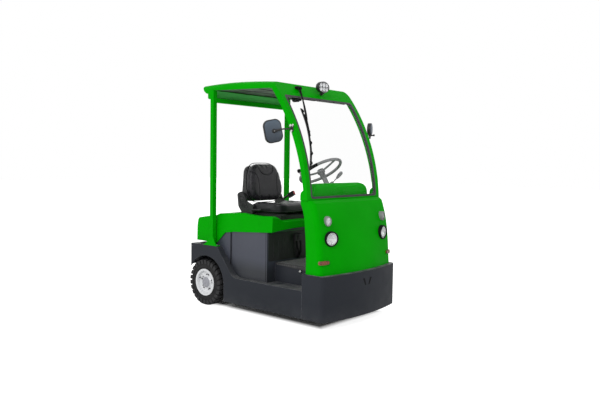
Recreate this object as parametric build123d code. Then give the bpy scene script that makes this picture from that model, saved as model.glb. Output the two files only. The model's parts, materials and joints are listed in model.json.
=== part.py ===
from build123d import *
from math import hypot, sqrt
import os

# Three-wheel electric tow tractor for baggage carts.
# Millimetres. +Z is up, the front faces -Y and +X is the vehicle's left.
# The origin is on the ground, midway between the nose and the tow coupling.

# ---- gaps and fits -----------------------------------------------------------
running_gap = 0.3          # turning pieces to their seats, soft pieces to their supports
cover_gap = 6.0            # hood to the battery box
post_gap = 12.0            # hood to the rear posts
fit = 2.0                  # frame members inside their covers
overlap = 1.0              # welded members run this far into each other
past = 1.0                 # cutting tools run this far past what they cut

# ---- chassis -----------------------------------------------------------------
body_half = 500.0          # half width over the side plates
frame_bottom = 75.0        # ground to the underside of the frame
rear_y = 740.0             # rear face of the chassis
plate = 12.0               # side plates and rear plate
sheet = 8.0                # folded sheet: floor, steps, ledges
sill_top = 295.0           # top of the side sill
fender_top = 548.0         # top of the rear fender
fender_front_y = 395.0     # where the fender starts to slope down
fender_slope_run = 202.0   # length of the slope along the vehicle
fender_crest_r = 40.0      # rounding at the top of the slope
fender_foot_r = 110.0      # rounding at its foot
ledge_depth = 60.0         # how far the sill and fender ledges reach inwards
rail = 10.0                # thickness of the rear rails
rail_corner_r = 30.0
rear_lip = 45.0            # folded lip along the top of the rear plate

# ---- rear axle and wheels ----------------------------------------------------
rear_axle_y = 561.0
rear_tyre_r = 207.5
rear_tyre_width = 112.0
rear_seat_r = 106.0        # tyre seat on the rim
rear_flange = 14.0         # rim edge above the tyre seat
tyre_inset = 6.0           # tyre inside the body's side
rear_wheel_x = body_half - tyre_inset - rear_tyre_width / 2
arch_gap = 27.5            # tyre to wheel arch
arch_lead = 21.0           # arch centre ahead of the axle
arch_lift = 9.5            # arch centre above the axle
arch_liner = 4.0
arch_y = rear_axle_y - arch_lead
arch_z = rear_tyre_r + arch_lift
arch_r = rear_tyre_r + arch_gap
rail_gap = 16.0            # tyre to rear rail
rail_half = rear_wheel_x - rear_tyre_width / 2 - rail_gap
stud_circle_r = 68.0
stud_count = 5
stud_hole_r = 9.0
spindle_r = 24.0
hub_wall = 14.0
disc_out = 27.0            # wheel disc outside the tyre's middle
disc = 8.0                 # thickness of the disc
drum_r = 64.0
axle_tube_r = 48.0
housing_r = 98.0
motor_r = 86.0
motor_foot = 60.0          # motor foot above the axle
motor_height = 240.0

# ---- steered front wheel -----------------------------------------------------
front_wheel_y = -505.0
front_tyre_r = 150.0
front_tyre_width = 92.0
front_seat_r = 76.0
front_flange = 12.0
fork_arm = 14.0            # thickness of a fork arm
fork_gap = 16.0            # tyre to fork arm
axle_pin_r = 14.0
crown_gap = 56.0           # tyre to fork crown
crown = 18.0
stem_r = 40.0
bearing_r = 118.0
bearing_ring = 46.0        # width of the ring
bearing_height = 34.0
bridge = 16.0              # plate that carries the slewing bearing
bridge_half_length = 135.0
stem_over = 8.0            # stem above the bridge
crown_z = 2 * front_tyre_r + crown_gap
bridge_z = crown_z + crown + bearing_height

# ---- floor -------------------------------------------------------------------
floor_over = 10.0          # floor sheet above the fork's stem
floor_top = bridge_z + bridge + stem_over + floor_over + sheet
step_width = 160.0         # step beside the floor, from the body's side
floor_half = body_half - step_width
floor_front_y = -700.0
mat = 4.0
mat_front_y = -630.0
flap_front = 33.0          # the mat's side flaps hang this far at the front
flap_rear = 10.0
beam_half = floor_half - sheet - fit

# ---- front end ---------------------------------------------------------------
corner_y = -795.0          # front corners of the bumper
nose_bulge = 63.0          # middle of the bumper ahead of its corners
bumper_top = 430.0
bumper_wall = 14.0
bumper_corner_r = 36.0
slot_top, slot_bottom = 368.0, 318.0
slot_rows = ((-56.0, slot_top), (-40.0, slot_top), (-20.0, slot_bottom), (-28.0, slot_bottom))
door_front_y = -585.0      # front edge of the doorway at the sill
cowl_inset = 13.0          # cowl inside the body's side
cowl_half = body_half - cowl_inset
cowl_wall = 28.0
cowl_corner_r = 40.0
cowl_rear_y = -540.0
# height, y of the front corners, how far the middle bows ahead of them
cowl_sections = (
    (bumper_top, -758.0, 60.0),
    (650.0, -744.0, 38.0),
    (830.0, -719.0, 22.0),
    (930.0, -693.0, 12.0),
    (978.0, -676.0, 8.0))
cowl_cap = (1000.0, -648.0, 4.0)       # the same for the rim under the windscreen
cowl_top = cowl_cap[0]
dash_front_y, dash_rear_y = -583.0, -490.0
dash_top = 1127.0
dash_half = 370.0
dash_corner_r = 95.0
bulkhead_y = -650.0
bulkhead_top = 905.0

# ---- windscreen hoop and roof ------------------------------------------------
hoop_inset = 5.0           # hoop and roof inside the body's side
hoop_half = body_half - hoop_inset
pillar = 45.0              # width of the windscreen pillars
front_arc = (944.0, 911.0, 1571.0)    # y, z and radius of the windscreen curve
rear_arc = (1054.0, 853.0, 1650.0)    # the same for the pillars' rear edge
pillar_foot_z = 1079.0     # where the pillar's rear edge meets the cowl's lobe
lobe_y = -552.0            # rear edge of the lobe
header_corner_r = 55.0     # header to pillar, seen from the side
window_half = hoop_half - pillar
window_sill = 1012.0
window_corner_r = 24.0
pane = 6.0
pane_set = 8.0             # pane behind the hoop's front face
seal = 16.0                # visible width of the rubber seal
seal_depth = 21.0
seal_proud = 1.0
roof_top = 1964.0          # crown of the roof
roof_crown_y = 290.0
roof_crown_r = 5760.0      # side-view radius of the roof top
roof_front_y = -150.0
roof_rear_y = 604.0
roof_edge_drop = 75.4      # lower edge below the crown, at the front
roof_edge_slope = 0.028
roof_shoulder_r = 52.0
roof_skin = 5.0
# ahead of the tail's tip, below the crown and corner radius, up the tail
roof_tail = ((77.0, 84.0, 6.0), (55.0, 80.0, 12.0), (29.0, 61.0, 25.0), (0.0, 21.0, 12.0))
roof_tail_top = 12.0       # the tail's upper corner ahead of its tip
skirt_drop = 124.0         # lower edge of the skirt behind the posts, below the crown
skirt_foot = (98.0, 132.0) # its front corner: ahead of the tip, below the crown
header = 131.0             # window head below the roof's crown
window_head = roof_top - header
lining = 3.0
lining_set = 12.0          # lining above the roof's lower edge
roof_rail = 22.0

# ---- rear posts --------------------------------------------------------------
hood_wall = 6.0
box_half = body_half - ledge_depth
hood_half = box_half + cover_gap + hood_wall
post = 40.0                # square rear posts
post_y = 464.0
post_outer = hood_half + post_gap + post
foot_plate = 6.0
foot_front, foot_rear = 70.0, 104.0    # foot plate ahead of and behind the post's middle
gusset_height = 60.0
beam_top_drop = 123.0      # rear beam below the roof's crown
beam_depth = 38.0

# ---- battery box and hood ----------------------------------------------------
box_front_y = -153.0
box_to_arch = 38.0         # battery box to the wheel arch liner
box_rear_y = arch_y - arch_r - arch_liner - box_to_arch + overlap
box_top = 725.0
box_wall = 10.0
battery_gap = 14.0         # battery to the box's sides
battery_drop = 15.0        # battery top below the box's rim
panel_gap = 5.0
panel_bottom = 302.0
hood_lift = 25.0           # hood above the fender
hood_bottom = fender_top + hood_lift
hood_front_y = -218.0
hood_front_lean = 12.0
hood_rear_y = 715.0
hood_rear_lean = 5.0
hood_tail_z = 778.0
hood_front_z = 845.0
hood_corner_r = 26.0
# y, z and corner radius along the hood's top, front to rear
hood_crest = ((-31.0, 837.0, 120.0), (78.0, 845.0, 60.0), (140.0, 853.0, 90.0), (432.0, 832.0, 25.0),
              (489.0, 806.0, 25.0), (579.0, 800.0, 60.0))
# the same along its lower side edge, rear to front
hood_hem = ((447.0, hood_bottom, 15.0), (344.0, 671.0, 30.0), (243.0, 685.0, 60.0))
hood_hem_front_z = 716.0
hood_waist_z = 705.0       # the sides lean in above this height
hood_top_half = hood_half - 25.0
hood_arch = 23.0           # the front's lower edge rises this far in the middle
well_floor_half = hood_half - 152.0    # seat well between the wings, at its floor
well_mid_half = hood_half - 100.0
well_brim_half = hood_half - 57.0
well_z, well_mid_z, well_brim_z = 793.0, 825.0, 850.0
well_rear_y = 350.0
hinge_pin_r = 5.0
hinge_x = 245.0            # middle of each hinge
hinge_knuckle = 34.0       # length of a knuckle
hinge_ear = 22.0           # width of an ear
hinge_tab = 50.0           # height of the knuckle's tab
hinge_y = hood_rear_y + 9.0
hinge_z = hood_bottom - 13.0

# ---- driver's seat -----------------------------------------------------------
seat_half = 235.0
seat_base_half = 190.0
bracket = 16.0             # thickness of the recliner brackets
base_height = 50.0
slide_height = 15.0
cushion_height = 80.0
cushion_front_y = -105.0
cushion_length = 430.0
back_half = 220.0
back_height = 362.0
back_z = 925.0
back_y = 235.0
back_thickness = 88.0
back_lean = 10.0           # degrees
shell_rear_y = 400.0
shell_top_z = 1255.0
shell_half = 200.0

# ---- controls ----------------------------------------------------------------
wheel_centre = (0.0, -355.0, 1222.0)
wheel_r = 186.0
wheel_grip_r = 13.0
wheel_tilt = 33.0          # degrees from level, rear edge down
wheel_hub = 30.0           # height of the hub
column_r = 27.0
column_length = 235.0

# ---- lamps, wiper and mirrors ------------------------------------------------
# x, y, z of the lens rim, half width, half height, degrees turned outboard
headlight = (127.0 - cowl_half, -757.0, 706.0, 56.0, 56.0, 9.0)
upper_lamp = (106.0 - cowl_half, -735.0, 843.0, 34.0, 40.0, 16.0)
lamp_lip = 8.0
lamp_dome = 12.0           # height of a lens
reflector_front_x = 400.0
reflector_rear_y = -738.0
reflector_z = 530.0
reflector_half = 15.0
reflector_proud = 8.0
work_lamp_at = (28.0, -355.0, roof_top - 32.0)    # middle of the lens
work_lamp_half = (74.0, 48.0)
work_lamp_depth = 30.0
mirror_at = (173.0 + hoop_half, -425.0, 1530.0)
mirror_size = (142.0, 26.0, 172.0)
mirror_corner_r = 46.0
mirror_yaw = 24.0          # degrees, turned to the driver
mirror_tilt = 12.0         # degrees, top leaning outboard
left_mirror_at = (185.0 + hoop_half, -388.0, 1606.0)
left_mirror_half = (58.0, 55.0)
left_mirror_depth = 36.0

# ---- tow coupling ------------------------------------------------------------
coupling_reach = 118.0     # how far the jaws stand out behind the frame
coupling_half = 75.0
coupling_corner_r = 38.0
coupling_taper = 30.0
jaw = 14.0
jaw_pitch = 62.0
jaw_count = 4
jaw_z = 240.0
coupling_hole_r = 16.0
coupling_hole_back = 40.0  # hole centre ahead of the jaws' tips
pin_r = 15.0
pin_length = 250.0
pin_x = coupling_half + 50.0
socket_wall = 7.0
socket_height = 60.0
socket_top = 420.0
pin_y = rear_y + plate + socket_wall + pin_r


# ---- helpers -----------------------------------------------------------------
def block(x0, x1, y0, y1, z0, z1):
    """A box between two corners."""
    centre = Pos((x0 + x1) / 2, (y0 + y1) / 2, (z0 + z1) / 2)
    return centre * Box(x1 - x0, y1 - y0, z1 - z0)


def both(shape):
    """The shape joined to its mirror image in the centre plane."""
    return shape + mirror(shape, about=Plane.YZ)


def pair(shape):
    """The shape and its mirror image in the centre plane, as separate solids."""
    return Compound(children=shape.solids() + mirror(shape, about=Plane.YZ).solids())


def rounded(rows):
    """A face from rows of (across, up, corner radius)."""
    points = [(across, up) for across, up, corner in rows]
    corners = [corner for across, up, corner in rows]
    return make_face(FilletPolyline(*points, radius=corners, close=True))


def side_prism(rows, x0, x1):
    """A side-view outline of (y, z, radius) rows carried from x0 to x1."""
    return extrude(Pos(x0, 0, 0) * (Plane.YZ * rounded(rows)), x1 - x0)


def front_prism(rows, y0, y1):
    """A front-view outline of (x, z, radius) rows carried from y0 to y1."""
    return extrude(Pos(0, y1, 0) * (Plane.XZ * rounded(rows)), y1 - y0)


def plan_prism(rows, z0, z1):
    """A plan outline of (x, y, radius) rows carried from z0 to z1."""
    return extrude(Pos(0, 0, z0) * rounded(rows), z1 - z0)


def rod(start, end, radius):
    """A round bar between two points."""
    start, end = Vector(start), Vector(end)
    along = end - start
    return extrude(Plane(origin=start, z_dir=along) * Circle(radius), along.length)


def turned(rows, y, z):
    """A solid of revolution about the line along X through (y, z), from (x, radius) rows."""
    face = Plane.XY * make_face(Polyline(*rows, close=True))
    return Pos(0, y, z) * revolve(face, Axis.X)


def cross_cylinder(x0, x1, y, z, radius):
    """A cylinder along X."""
    return Pos((x0 + x1) / 2, y, z) * (Rot(0, 90, 0) * Cylinder(radius, x1 - x0))


def lamp_barrel(x, z, y0, y1, radius):
    """A cylinder along Y."""
    return Pos(x, (y0 + y1) / 2, z) * (Rot(90, 0, 0) * Cylinder(radius, y1 - y0))


def oval(half_width, half_height, front, back):
    """An upright oval prism that faces -Y, from y = -front to y = back."""
    face = Pos(0, back, 0) * (Plane.XZ * Ellipse(half_width, half_height))
    return extrude(face, front + back)


def arc_y(arc, z, inset=0.0):
    """y of the front side of a side-view circle at height z."""
    centre_y, centre_z, radius = arc
    return centre_y - sqrt((radius - inset) ** 2 - (z - centre_z) ** 2)


def arc_edge(arc, z0, z1, inset=0.0):
    """The stretch of a side-view circle between two heights."""
    heights = (z0, (z0 + z1) / 2, z1)
    return ThreePointArc(*[(arc_y(arc, z, inset), z) for z in heights])


def nose_face(half, back_y, front_y, bulge, corner_r, z):
    """A plan section with straight sides and a bowed front."""
    face = make_face([
        Line((half, back_y), (-half, back_y)),
        Line((-half, back_y), (-half, front_y)),
        ThreePointArc((-half, front_y), (0, front_y - bulge), (half, front_y)),
        Line((half, front_y), (half, back_y))])
    corners = face.vertices().sort_by(Axis.Y)[:2]
    return Pos(0, 0, z) * fillet(corners, corner_r)


# ---- chassis -----------------------------------------------------------------
def fender_rows(inset=0.0):
    """Side view of a side plate: sill, slope and rear fender."""
    run, rise = fender_slope_run, fender_top - sill_top
    shift = inset * hypot(run, rise) / rise - inset * run / rise
    return [
        (door_front_y - inset, frame_bottom - inset, 0),
        (rear_y + inset, frame_bottom - inset, 0),
        (rear_y + inset, fender_top - inset, 0),
        (fender_front_y + shift, fender_top - inset, fender_crest_r - inset),
        (fender_front_y - run + shift, sill_top - inset, fender_foot_r + inset),
        (door_front_y - inset, sill_top - inset, 0)]


def arch_height(y):
    """Height of the wheel arch at y."""
    return arch_z + sqrt(arch_r ** 2 - (y - arch_y) ** 2)


def side_plate():
    """Right side plate with the ledge along its top and the lined wheel arch."""
    inner_x = -body_half + ledge_depth
    solid = side_prism(fender_rows(), -body_half, inner_x)
    solid -= side_prism(fender_rows(sheet), -body_half + plate, inner_x + past)
    liner_r = arch_r + arch_liner
    liner = cross_cylinder(-body_half + plate - overlap, -rail_half, arch_y, arch_z, liner_r)
    solid += liner & block(-body_half, -rail_half, arch_y - liner_r, rear_y - plate, arch_z, fender_top)
    solid -= cross_cylinder(-body_half - past, -rail_half + past, arch_y, arch_z, arch_r)
    return solid - block(-body_half - past, -rail_half + past, arch_y - arch_r, rear_y + past,
                         0, arch_z)


def chassis_frame():
    """Welded frame: stringers, rear rails, front beams, bridge and rear plate."""
    low = frame_bottom + sheet
    wheelhouse_y = arch_y - arch_r
    rail_rows = [
        (box_rear_y, low, 0), (rear_y - plate, low, 0),
        (rear_y - plate, fender_top - sheet, 0), (wheelhouse_y, fender_top - sheet, rail_corner_r),
        (wheelhouse_y, sill_top - sheet, rail_corner_r), (box_rear_y, sill_top - sheet, 0)]
    beam_rows = [
        (floor_front_y, low, 20), (box_front_y, low, 0),
        (box_front_y, floor_top - sheet, 0), (floor_front_y, floor_top - sheet, 60)]
    half = side_prism(rail_rows, -rail_half, -rail_half + rail)
    half -= cross_cylinder(-rail_half - past, -rail_half + rail + past, rear_axle_y, rear_tyre_r,
                           axle_tube_r + running_gap)
    half += side_prism(beam_rows, -beam_half, -beam_half + plate)
    half += block(-rail_half, -beam_half + 40, floor_front_y, rear_y - plate, frame_bottom, low)
    solid = both(half)
    solid += block(-beam_half + overlap, beam_half - overlap, front_wheel_y - bridge_half_length,
                   front_wheel_y + bridge_half_length, bridge_z, bridge_z + bridge)
    solid -= Pos(0, front_wheel_y, bridge_z) * Cylinder(stem_r + 5, 4 * bridge)
    for y in (box_front_y - plate, box_rear_y + 20):
        solid += block(-rail_half + overlap, rail_half - overlap, y, y + plate, frame_bottom,
                       sill_top - sheet)
    return solid + rear_plate() + hinge_ears()


def hinge_ears():
    """Ears and pins of the two hood hinges on the rear lip."""
    side, top = 10.0, hinge_z + 10
    rows = [(hinge_y - side, fender_top - overlap, 0), (hinge_y + side, fender_top - overlap, 0),
            (hinge_y + side, top, 8), (hinge_y - side, top, 8)]
    inner = hinge_knuckle / 2 + overlap
    ears = side_prism(rows, hinge_x - inner - hinge_ear, hinge_x - inner)
    ears += side_prism(rows, hinge_x + inner, hinge_x + inner + hinge_ear)
    ears += cross_cylinder(hinge_x - inner - hinge_ear, hinge_x + inner + hinge_ear,
                           hinge_y, hinge_z, hinge_pin_r)
    return both(ears)


def hood_rear_wall_y(z):
    """Outer face of the hood's rear wall at height z."""
    return hood_rear_y - hood_rear_lean * (z - hood_bottom) / (hood_tail_z - hood_bottom)


def hinge_knuckles():
    """Knuckles of the two hinges with their tabs on the hood's rear wall."""
    tab_top = hinge_z + hinge_tab
    wall_y = hood_rear_wall_y(tab_top)
    rows = [(hood_rear_y - overlap, hinge_z, 0), (wall_y - 2 * overlap, tab_top, 0),
            (wall_y + 6, tab_top, 2), (hinge_y + 4, hinge_z, 0)]
    half = hinge_knuckle / 2
    knuckle = cross_cylinder(hinge_x - half, hinge_x + half, hinge_y, hinge_z, hinge_pin_r + 5)
    knuckle += side_prism(rows, hinge_x - half, hinge_x + half)
    knuckle -= cross_cylinder(hinge_x - half - past, hinge_x + half + past, hinge_y, hinge_z,
                              hinge_pin_r + running_gap)
    return both(knuckle)


def rear_plate():
    """Rear wall with its folded lip, notched for the tyres."""
    half = body_half - plate
    wall = block(-half, half, rear_y - plate, rear_y, frame_bottom, fender_top - sheet)
    wall += block(-box_half, box_half, rear_y - rear_lip, rear_y, fender_top - sheet, fender_top)
    notch_top = arch_height(rear_y - plate)
    notch = block(-body_half - past, -rail_half - past, rear_y - rear_lip, rear_y + past, 0, notch_top)
    return wall - notch - mirror(notch, about=Plane.YZ)


def front_bumper():
    """Bowed steel bumper with a ledge round its top and two lashing slots."""
    outer = nose_face(body_half, door_front_y, corner_y, nose_bulge, bumper_corner_r, frame_bottom)
    inner = nose_face(body_half - bumper_wall, door_front_y + past, corner_y + bumper_wall,
                      nose_bulge, bumper_corner_r - bumper_wall, frame_bottom - past)
    solid = extrude(outer, bumper_top - frame_bottom)
    solid -= extrude(inner, bumper_top - frame_bottom - sheet + past)
    solid -= block(-floor_half, floor_half, floor_front_y - overlap, door_front_y + past,
                   bumper_top - sheet - past, bumper_top + past)
    solid += both(block(-body_half + bumper_wall, -floor_half, door_front_y - sheet, door_front_y,
                        sill_top, bumper_top - sheet))
    nose_y = corner_y - nose_bulge
    slot = front_prism([(x, z, 3) for x, z in slot_rows], nose_y - past, nose_y + 2 * bumper_wall)
    return solid - both(slot)


def door_steps():
    return pair(block(-box_half, -floor_half, door_front_y, box_front_y - plate,
                      sill_top - sheet, sill_top))


def floor_plate():
    """Raised floor with its two risers."""
    low, rear = sill_top - sheet, box_front_y
    solid = block(-floor_half, floor_half, floor_front_y, rear, low, floor_top)
    return solid - block(-floor_half + sheet, floor_half - sheet, floor_front_y - past, rear + past,
                         low - past, floor_top - sheet)


def floor_mat():
    """Mat with flaps that hang down over the risers, deeper towards the front."""
    half, rear, top = floor_half + mat, box_front_y - 6, floor_top + mat
    rows = [(-half, mat_front_y, 20), (half, mat_front_y, 20), (half, rear, 6), (-half, rear, 6)]
    front = door_front_y + fit
    flap = [(front, top, 0), (rear - 6, top, 0), (rear - 6, floor_top - flap_rear, 4),
            (front, floor_top - flap_front, 12)]
    return plan_prism(rows, floor_top, top) + both(side_prism(flap, -half, -floor_half))


def battery_box():
    low = frame_bottom + sheet
    solid = block(-box_half, box_half, box_front_y, box_rear_y, low, box_top)
    return solid - block(-box_half + box_wall, box_half - box_wall, box_front_y + box_wall,
                         box_rear_y - box_wall, low + box_wall, box_top + past)


def battery():
    side = box_half - box_wall - battery_gap
    return block(-side, side, box_front_y + box_wall + 4, box_rear_y - box_wall - 4,
                 frame_bottom + sheet + box_wall, box_top - battery_drop)


def side_panels():
    """Fixed panels behind the battery box, above the fender slope."""
    front = box_rear_y + panel_gap
    slope_y = fender_front_y - fender_slope_run
    foot_y = slope_y + (panel_bottom - sill_top) * fender_slope_run / (fender_top - sill_top) + 109
    rows = [(front, panel_bottom, 0), (foot_y, panel_bottom, 0), (395, 462, 0),
            (455, 462, 0), (455, 690, 0), (front, 690, 0)]
    return pair(side_prism(rows, -box_half, -box_half + box_wall))


# ---- rear axle and wheels ----------------------------------------------------
def transaxle():
    """Differential housing, axle tubes, spindles and the upright drive motor."""
    hub_x = rear_wheel_x - 36
    drum = hub_x - 14
    rows = [(0, 0), (0, housing_r), (70, housing_r), (120, 1.5 * axle_tube_r), (150, axle_tube_r),
            (drum, axle_tube_r), (drum, drum_r), (hub_x - 4, drum_r), (hub_x - 4, spindle_r),
            (hub_x + 68, spindle_r), (hub_x + 68, 0)]
    solid = both(turned(rows, rear_axle_y, rear_tyre_r))
    motor_z = rear_tyre_r + motor_foot
    solid += Pos(0, rear_axle_y, motor_z + motor_height / 2) * Cylinder(motor_r, motor_height)
    return solid + Pos(0, rear_axle_y, motor_z + motor_height + 10) * Cylinder(0.72 * motor_r, 30)


def rear_rim():
    """Pressed steel wheel on the left side."""
    x, half = rear_wheel_x, rear_tyre_width / 2
    seat, lip, well = rear_seat_r, rear_seat_r + rear_flange, rear_seat_r - 6
    bore = spindle_r + running_gap
    hub = bore + hub_wall
    inner_end = x - 38
    face = x + disc_out
    rows = [
        (x - half, lip), (x - half + 6, lip), (x - half + 6, seat), (x + half - 6, seat),
        (x + half - 6, lip), (x + half, lip), (x + half - 1, seat - 3), (x + half - 9, well),
        (x + 30, well - 3), (face, 82), (face, 56), (x + 40, hub + 6), (x + 44, hub - 10),
        (x + 44, 0), (x + 34, 0), (x + 34, bore), (inner_end, bore), (inner_end, hub),
        (face - disc, hub + 4), (face - disc, 90), (x + 14, well), (x - half + 9, well),
        (x - half + 1, seat - 3)]
    solid = turned(rows, rear_axle_y, rear_tyre_r)
    for index in range(stud_count):
        angle = 360 / stud_count * index + 90
        hole = cross_cylinder(x, x + half, 0, stud_circle_r, stud_hole_r)
        solid -= Pos(0, rear_axle_y, rear_tyre_r) * (Rot(angle, 0, 0) * hole)
    return solid


def tyre(x, y, outer_r, seat_r, flange, width):
    """A solid tyre on its rim, with rounded shoulders."""
    bead, half, flange_r = width / 2 - 7, width / 2, seat_r + flange
    rows = [
        (x - bead, seat_r + running_gap, 0), (x + bead, seat_r + running_gap, 0),
        (x + bead, flange_r + 2, 3), (x + half, flange_r + 10, 12),
        (x + half - 3, outer_r, 16), (x - half + 3, outer_r, 16),
        (x - half, flange_r + 10, 12), (x - bead, flange_r + 2, 3)]
    return Pos(0, y, outer_r) * revolve(rounded(rows), Axis.X)


# ---- steered front wheel -----------------------------------------------------
def slewing_bearing():
    low = crown_z + crown + running_gap
    middle = Pos(0, front_wheel_y, (low + bridge_z) / 2)
    height = bridge_z - low
    return middle * (Cylinder(bearing_r, height) - Cylinder(bearing_r - bearing_ring, height))


def steering_fork():
    """Fork crown with its stem, two arms and the axle pin."""
    inner = front_tyre_width / 2 + fork_gap
    outer = inner + fork_arm
    solid = Pos(0, front_wheel_y, crown_z + crown / 2) * Cylinder(bearing_r - 8, crown)
    stem = bearing_height + bridge + stem_over
    solid += Pos(0, front_wheel_y, crown_z + crown + stem / 2) * Cylinder(stem_r, stem)
    low, high = front_tyre_r - 40, crown_z + 2 * overlap
    rows = [(front_wheel_y - 36, low, 34), (front_wheel_y + 36, low, 34),
            (front_wheel_y + 70, high, 0), (front_wheel_y - 70, high, 0)]
    solid += both(side_prism(rows, -outer, -inner))
    return solid + cross_cylinder(-outer - 10, outer + 10, front_wheel_y, front_tyre_r, axle_pin_r)


def front_rim():
    half = front_tyre_width / 2
    seat, lip, bore = front_seat_r, front_seat_r + front_flange, axle_pin_r + running_gap
    hub = half + fork_gap - 2 * running_gap
    right = [(0, bore), (hub, bore), (hub, bore + 16), (14, bore + 20), (8, seat - 14),
             (12, seat - 6), (half - 4, seat - 6), (half, lip), (half - 5, lip), (half - 7, seat),
             (0, seat)]
    return both(turned(right, front_wheel_y, front_tyre_r))


# ---- front cowl and dash -----------------------------------------------------
def cowl_face(section, inset):
    z, front_y, bulge = section
    return nose_face(cowl_half - inset, cowl_rear_y + inset, front_y + inset, bulge,
                     cowl_corner_r - inset, z)


def cowl_body(inset=0.0):
    """The cowl's form, or the space inside its wall."""
    body = loft([cowl_face(section, inset) for section in cowl_sections])
    rim = [cowl_face(section, inset) for section in (cowl_sections[-1], cowl_cap)]
    return body + loft(rim, ruled=True)


def front_cowl():
    """Moulded cowl with its lamp holes and the side lobes that meet the pillars."""
    shell = cowl_body() - cowl_body(cowl_wall)
    low, high = bumper_top - past, cowl_top + past
    edge = [(-900, low, 0), (-613, low, 0), (-613, 561, 250), (-606, 700, 300), (-588, 874, 150),
            (-572, 928, 60), (lobe_y, 972, 30), (lobe_y, high, 0), (-900, high, 0)]
    shell &= side_prism(edge, -body_half, body_half)
    for lamp in (headlight, upper_lamp):
        shell -= both(lamp_form(lamp, -lamp_lip, 60, 120))
    return shell


def dash_console():
    """Footwell bulkhead and the rounded dash behind the windscreen."""
    rows = [(bulkhead_y, 870, 0), (bulkhead_y, bulkhead_top, 0), (dash_front_y, 960, 20),
            (dash_front_y, dash_top, 45), (dash_rear_y, dash_top, 35), (dash_rear_y, 985, 20),
            (-520, 940, 30), (bulkhead_y + 10, 870, 0)]
    ends = [(-dash_half, 800, 0), (dash_half, 800, 0), (dash_half, dash_top, dash_corner_r),
            (-dash_half, dash_top, dash_corner_r)]
    hump = side_prism(rows, -dash_half, dash_half) & front_prism(ends, -700, -400)
    side = cowl_half - cowl_wall
    return hump + block(-side, side, bulkhead_y, bulkhead_y + 10, floor_top, bulkhead_top)


# ---- windscreen, posts and roof ----------------------------------------------
def roof_z(y, depth=0.0):
    """Height of the crowned roof top, or of a line below it, at y."""
    return roof_top - roof_crown_r + sqrt(roof_crown_r ** 2 - (y - roof_crown_y) ** 2) - depth


def roof_edge_z(y):
    """Height of the roof's lower side edge at y."""
    return roof_top - roof_edge_drop + roof_edge_slope * (y - roof_front_y)


def crowned(inset, low):
    """A bar across the vehicle, above height low, with the roof's crowned top and shoulders."""
    half, top, corner = hoop_half - inset, roof_top - inset, roof_shoulder_r - inset
    section = Plane.XZ * rounded([(-half, low, 0), (half, low, 0), (half, top, corner),
                                  (-half, top, corner)])
    axis = Axis((0, roof_crown_y, roof_top - roof_crown_r), (1, 0, 0))
    start = (Pos(0, roof_crown_y, 0) * section).rotate(axis, -15)
    return revolve(start, axis, 30)


def windscreen_frame():
    """Two curved pillars and the hollow header, cut from one bowed slab."""
    rear_high = roof_edge_z(roof_front_y)
    above = roof_top + past
    outer = arc_edge(front_arc, cowl_top, above)
    inner = arc_edge(rear_arc, rear_high, pillar_foot_z)
    corner = (arc_y(rear_arc, rear_high), rear_high)
    points = [(arc_y(front_arc, above), above), (roof_front_y, above), (roof_front_y, rear_high),
              corner]
    foot = [(arc_y(rear_arc, pillar_foot_z), pillar_foot_z), (lobe_y - 5, pillar_foot_z - 18),
            (lobe_y, pillar_foot_z - 40), (lobe_y, cowl_top), (arc_y(front_arc, cowl_top), cowl_top)]
    profile = make_face([outer, *Polyline(*points).edges(), inner, *Polyline(*foot).edges()])
    bend = profile.vertices().sort_by_distance((*corner, 0))[0]
    profile = fillet(bend, header_corner_r)
    slab = extrude(Pos(-hoop_half, 0, 0) * (Plane.YZ * profile), 2 * hoop_half)
    slab &= crowned(0, 900)
    slab -= block(-window_half, window_half, dash_front_y - past, -400, cowl_top - past, dash_top)
    hollow_top = roof_z(corner[0]) - roof_skin
    hollow = [(corner[0] + 6, rear_high - past, 0), (roof_front_y + past, rear_high - past, 0),
              (roof_front_y + past, hollow_top, 0), (corner[0] + 36, hollow_top, 12)]
    slab -= side_prism(hollow, -window_half, window_half)
    return slab - front_prism(window_rows(), -700, 0)


def window_rows(inset=0.0):
    half, low, high = window_half - inset, window_sill + inset, window_head - inset
    return [(x, z, window_corner_r) for x, z in ((-half, low), (half, low), (half, high), (-half, high))]


def bowed_layer(front_inset, rear_inset):
    """A layer that follows the windscreen curve between two depths."""
    low, high = window_sill - 30, window_head + 30
    outer = arc_edge(front_arc, low, high, front_inset)
    inner = arc_edge(front_arc, high, low, rear_inset)
    profile = make_face([outer, Line(outer @ 1, inner @ 0), inner, Line(inner @ 1, outer @ 0)])
    return extrude(Pos(-hoop_half, 0, 0) * (Plane.YZ * profile), 2 * hoop_half)


def windscreen():
    return bowed_layer(pane_set, pane_set + pane) & front_prism(window_rows(seal), -700, 0)


def windscreen_seal():
    ring = front_prism(window_rows(), -700, 0) - front_prism(window_rows(seal), -700, 0)
    return bowed_layer(-seal_proud, seal_depth - seal_proud) & ring


def tail_rows(skin):
    """The roof's tail, or the inside of its skin."""
    return [(roof_rear_y - ahead - skin, roof_top - drop + skin, corner)
            for ahead, drop, corner in roof_tail]


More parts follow.
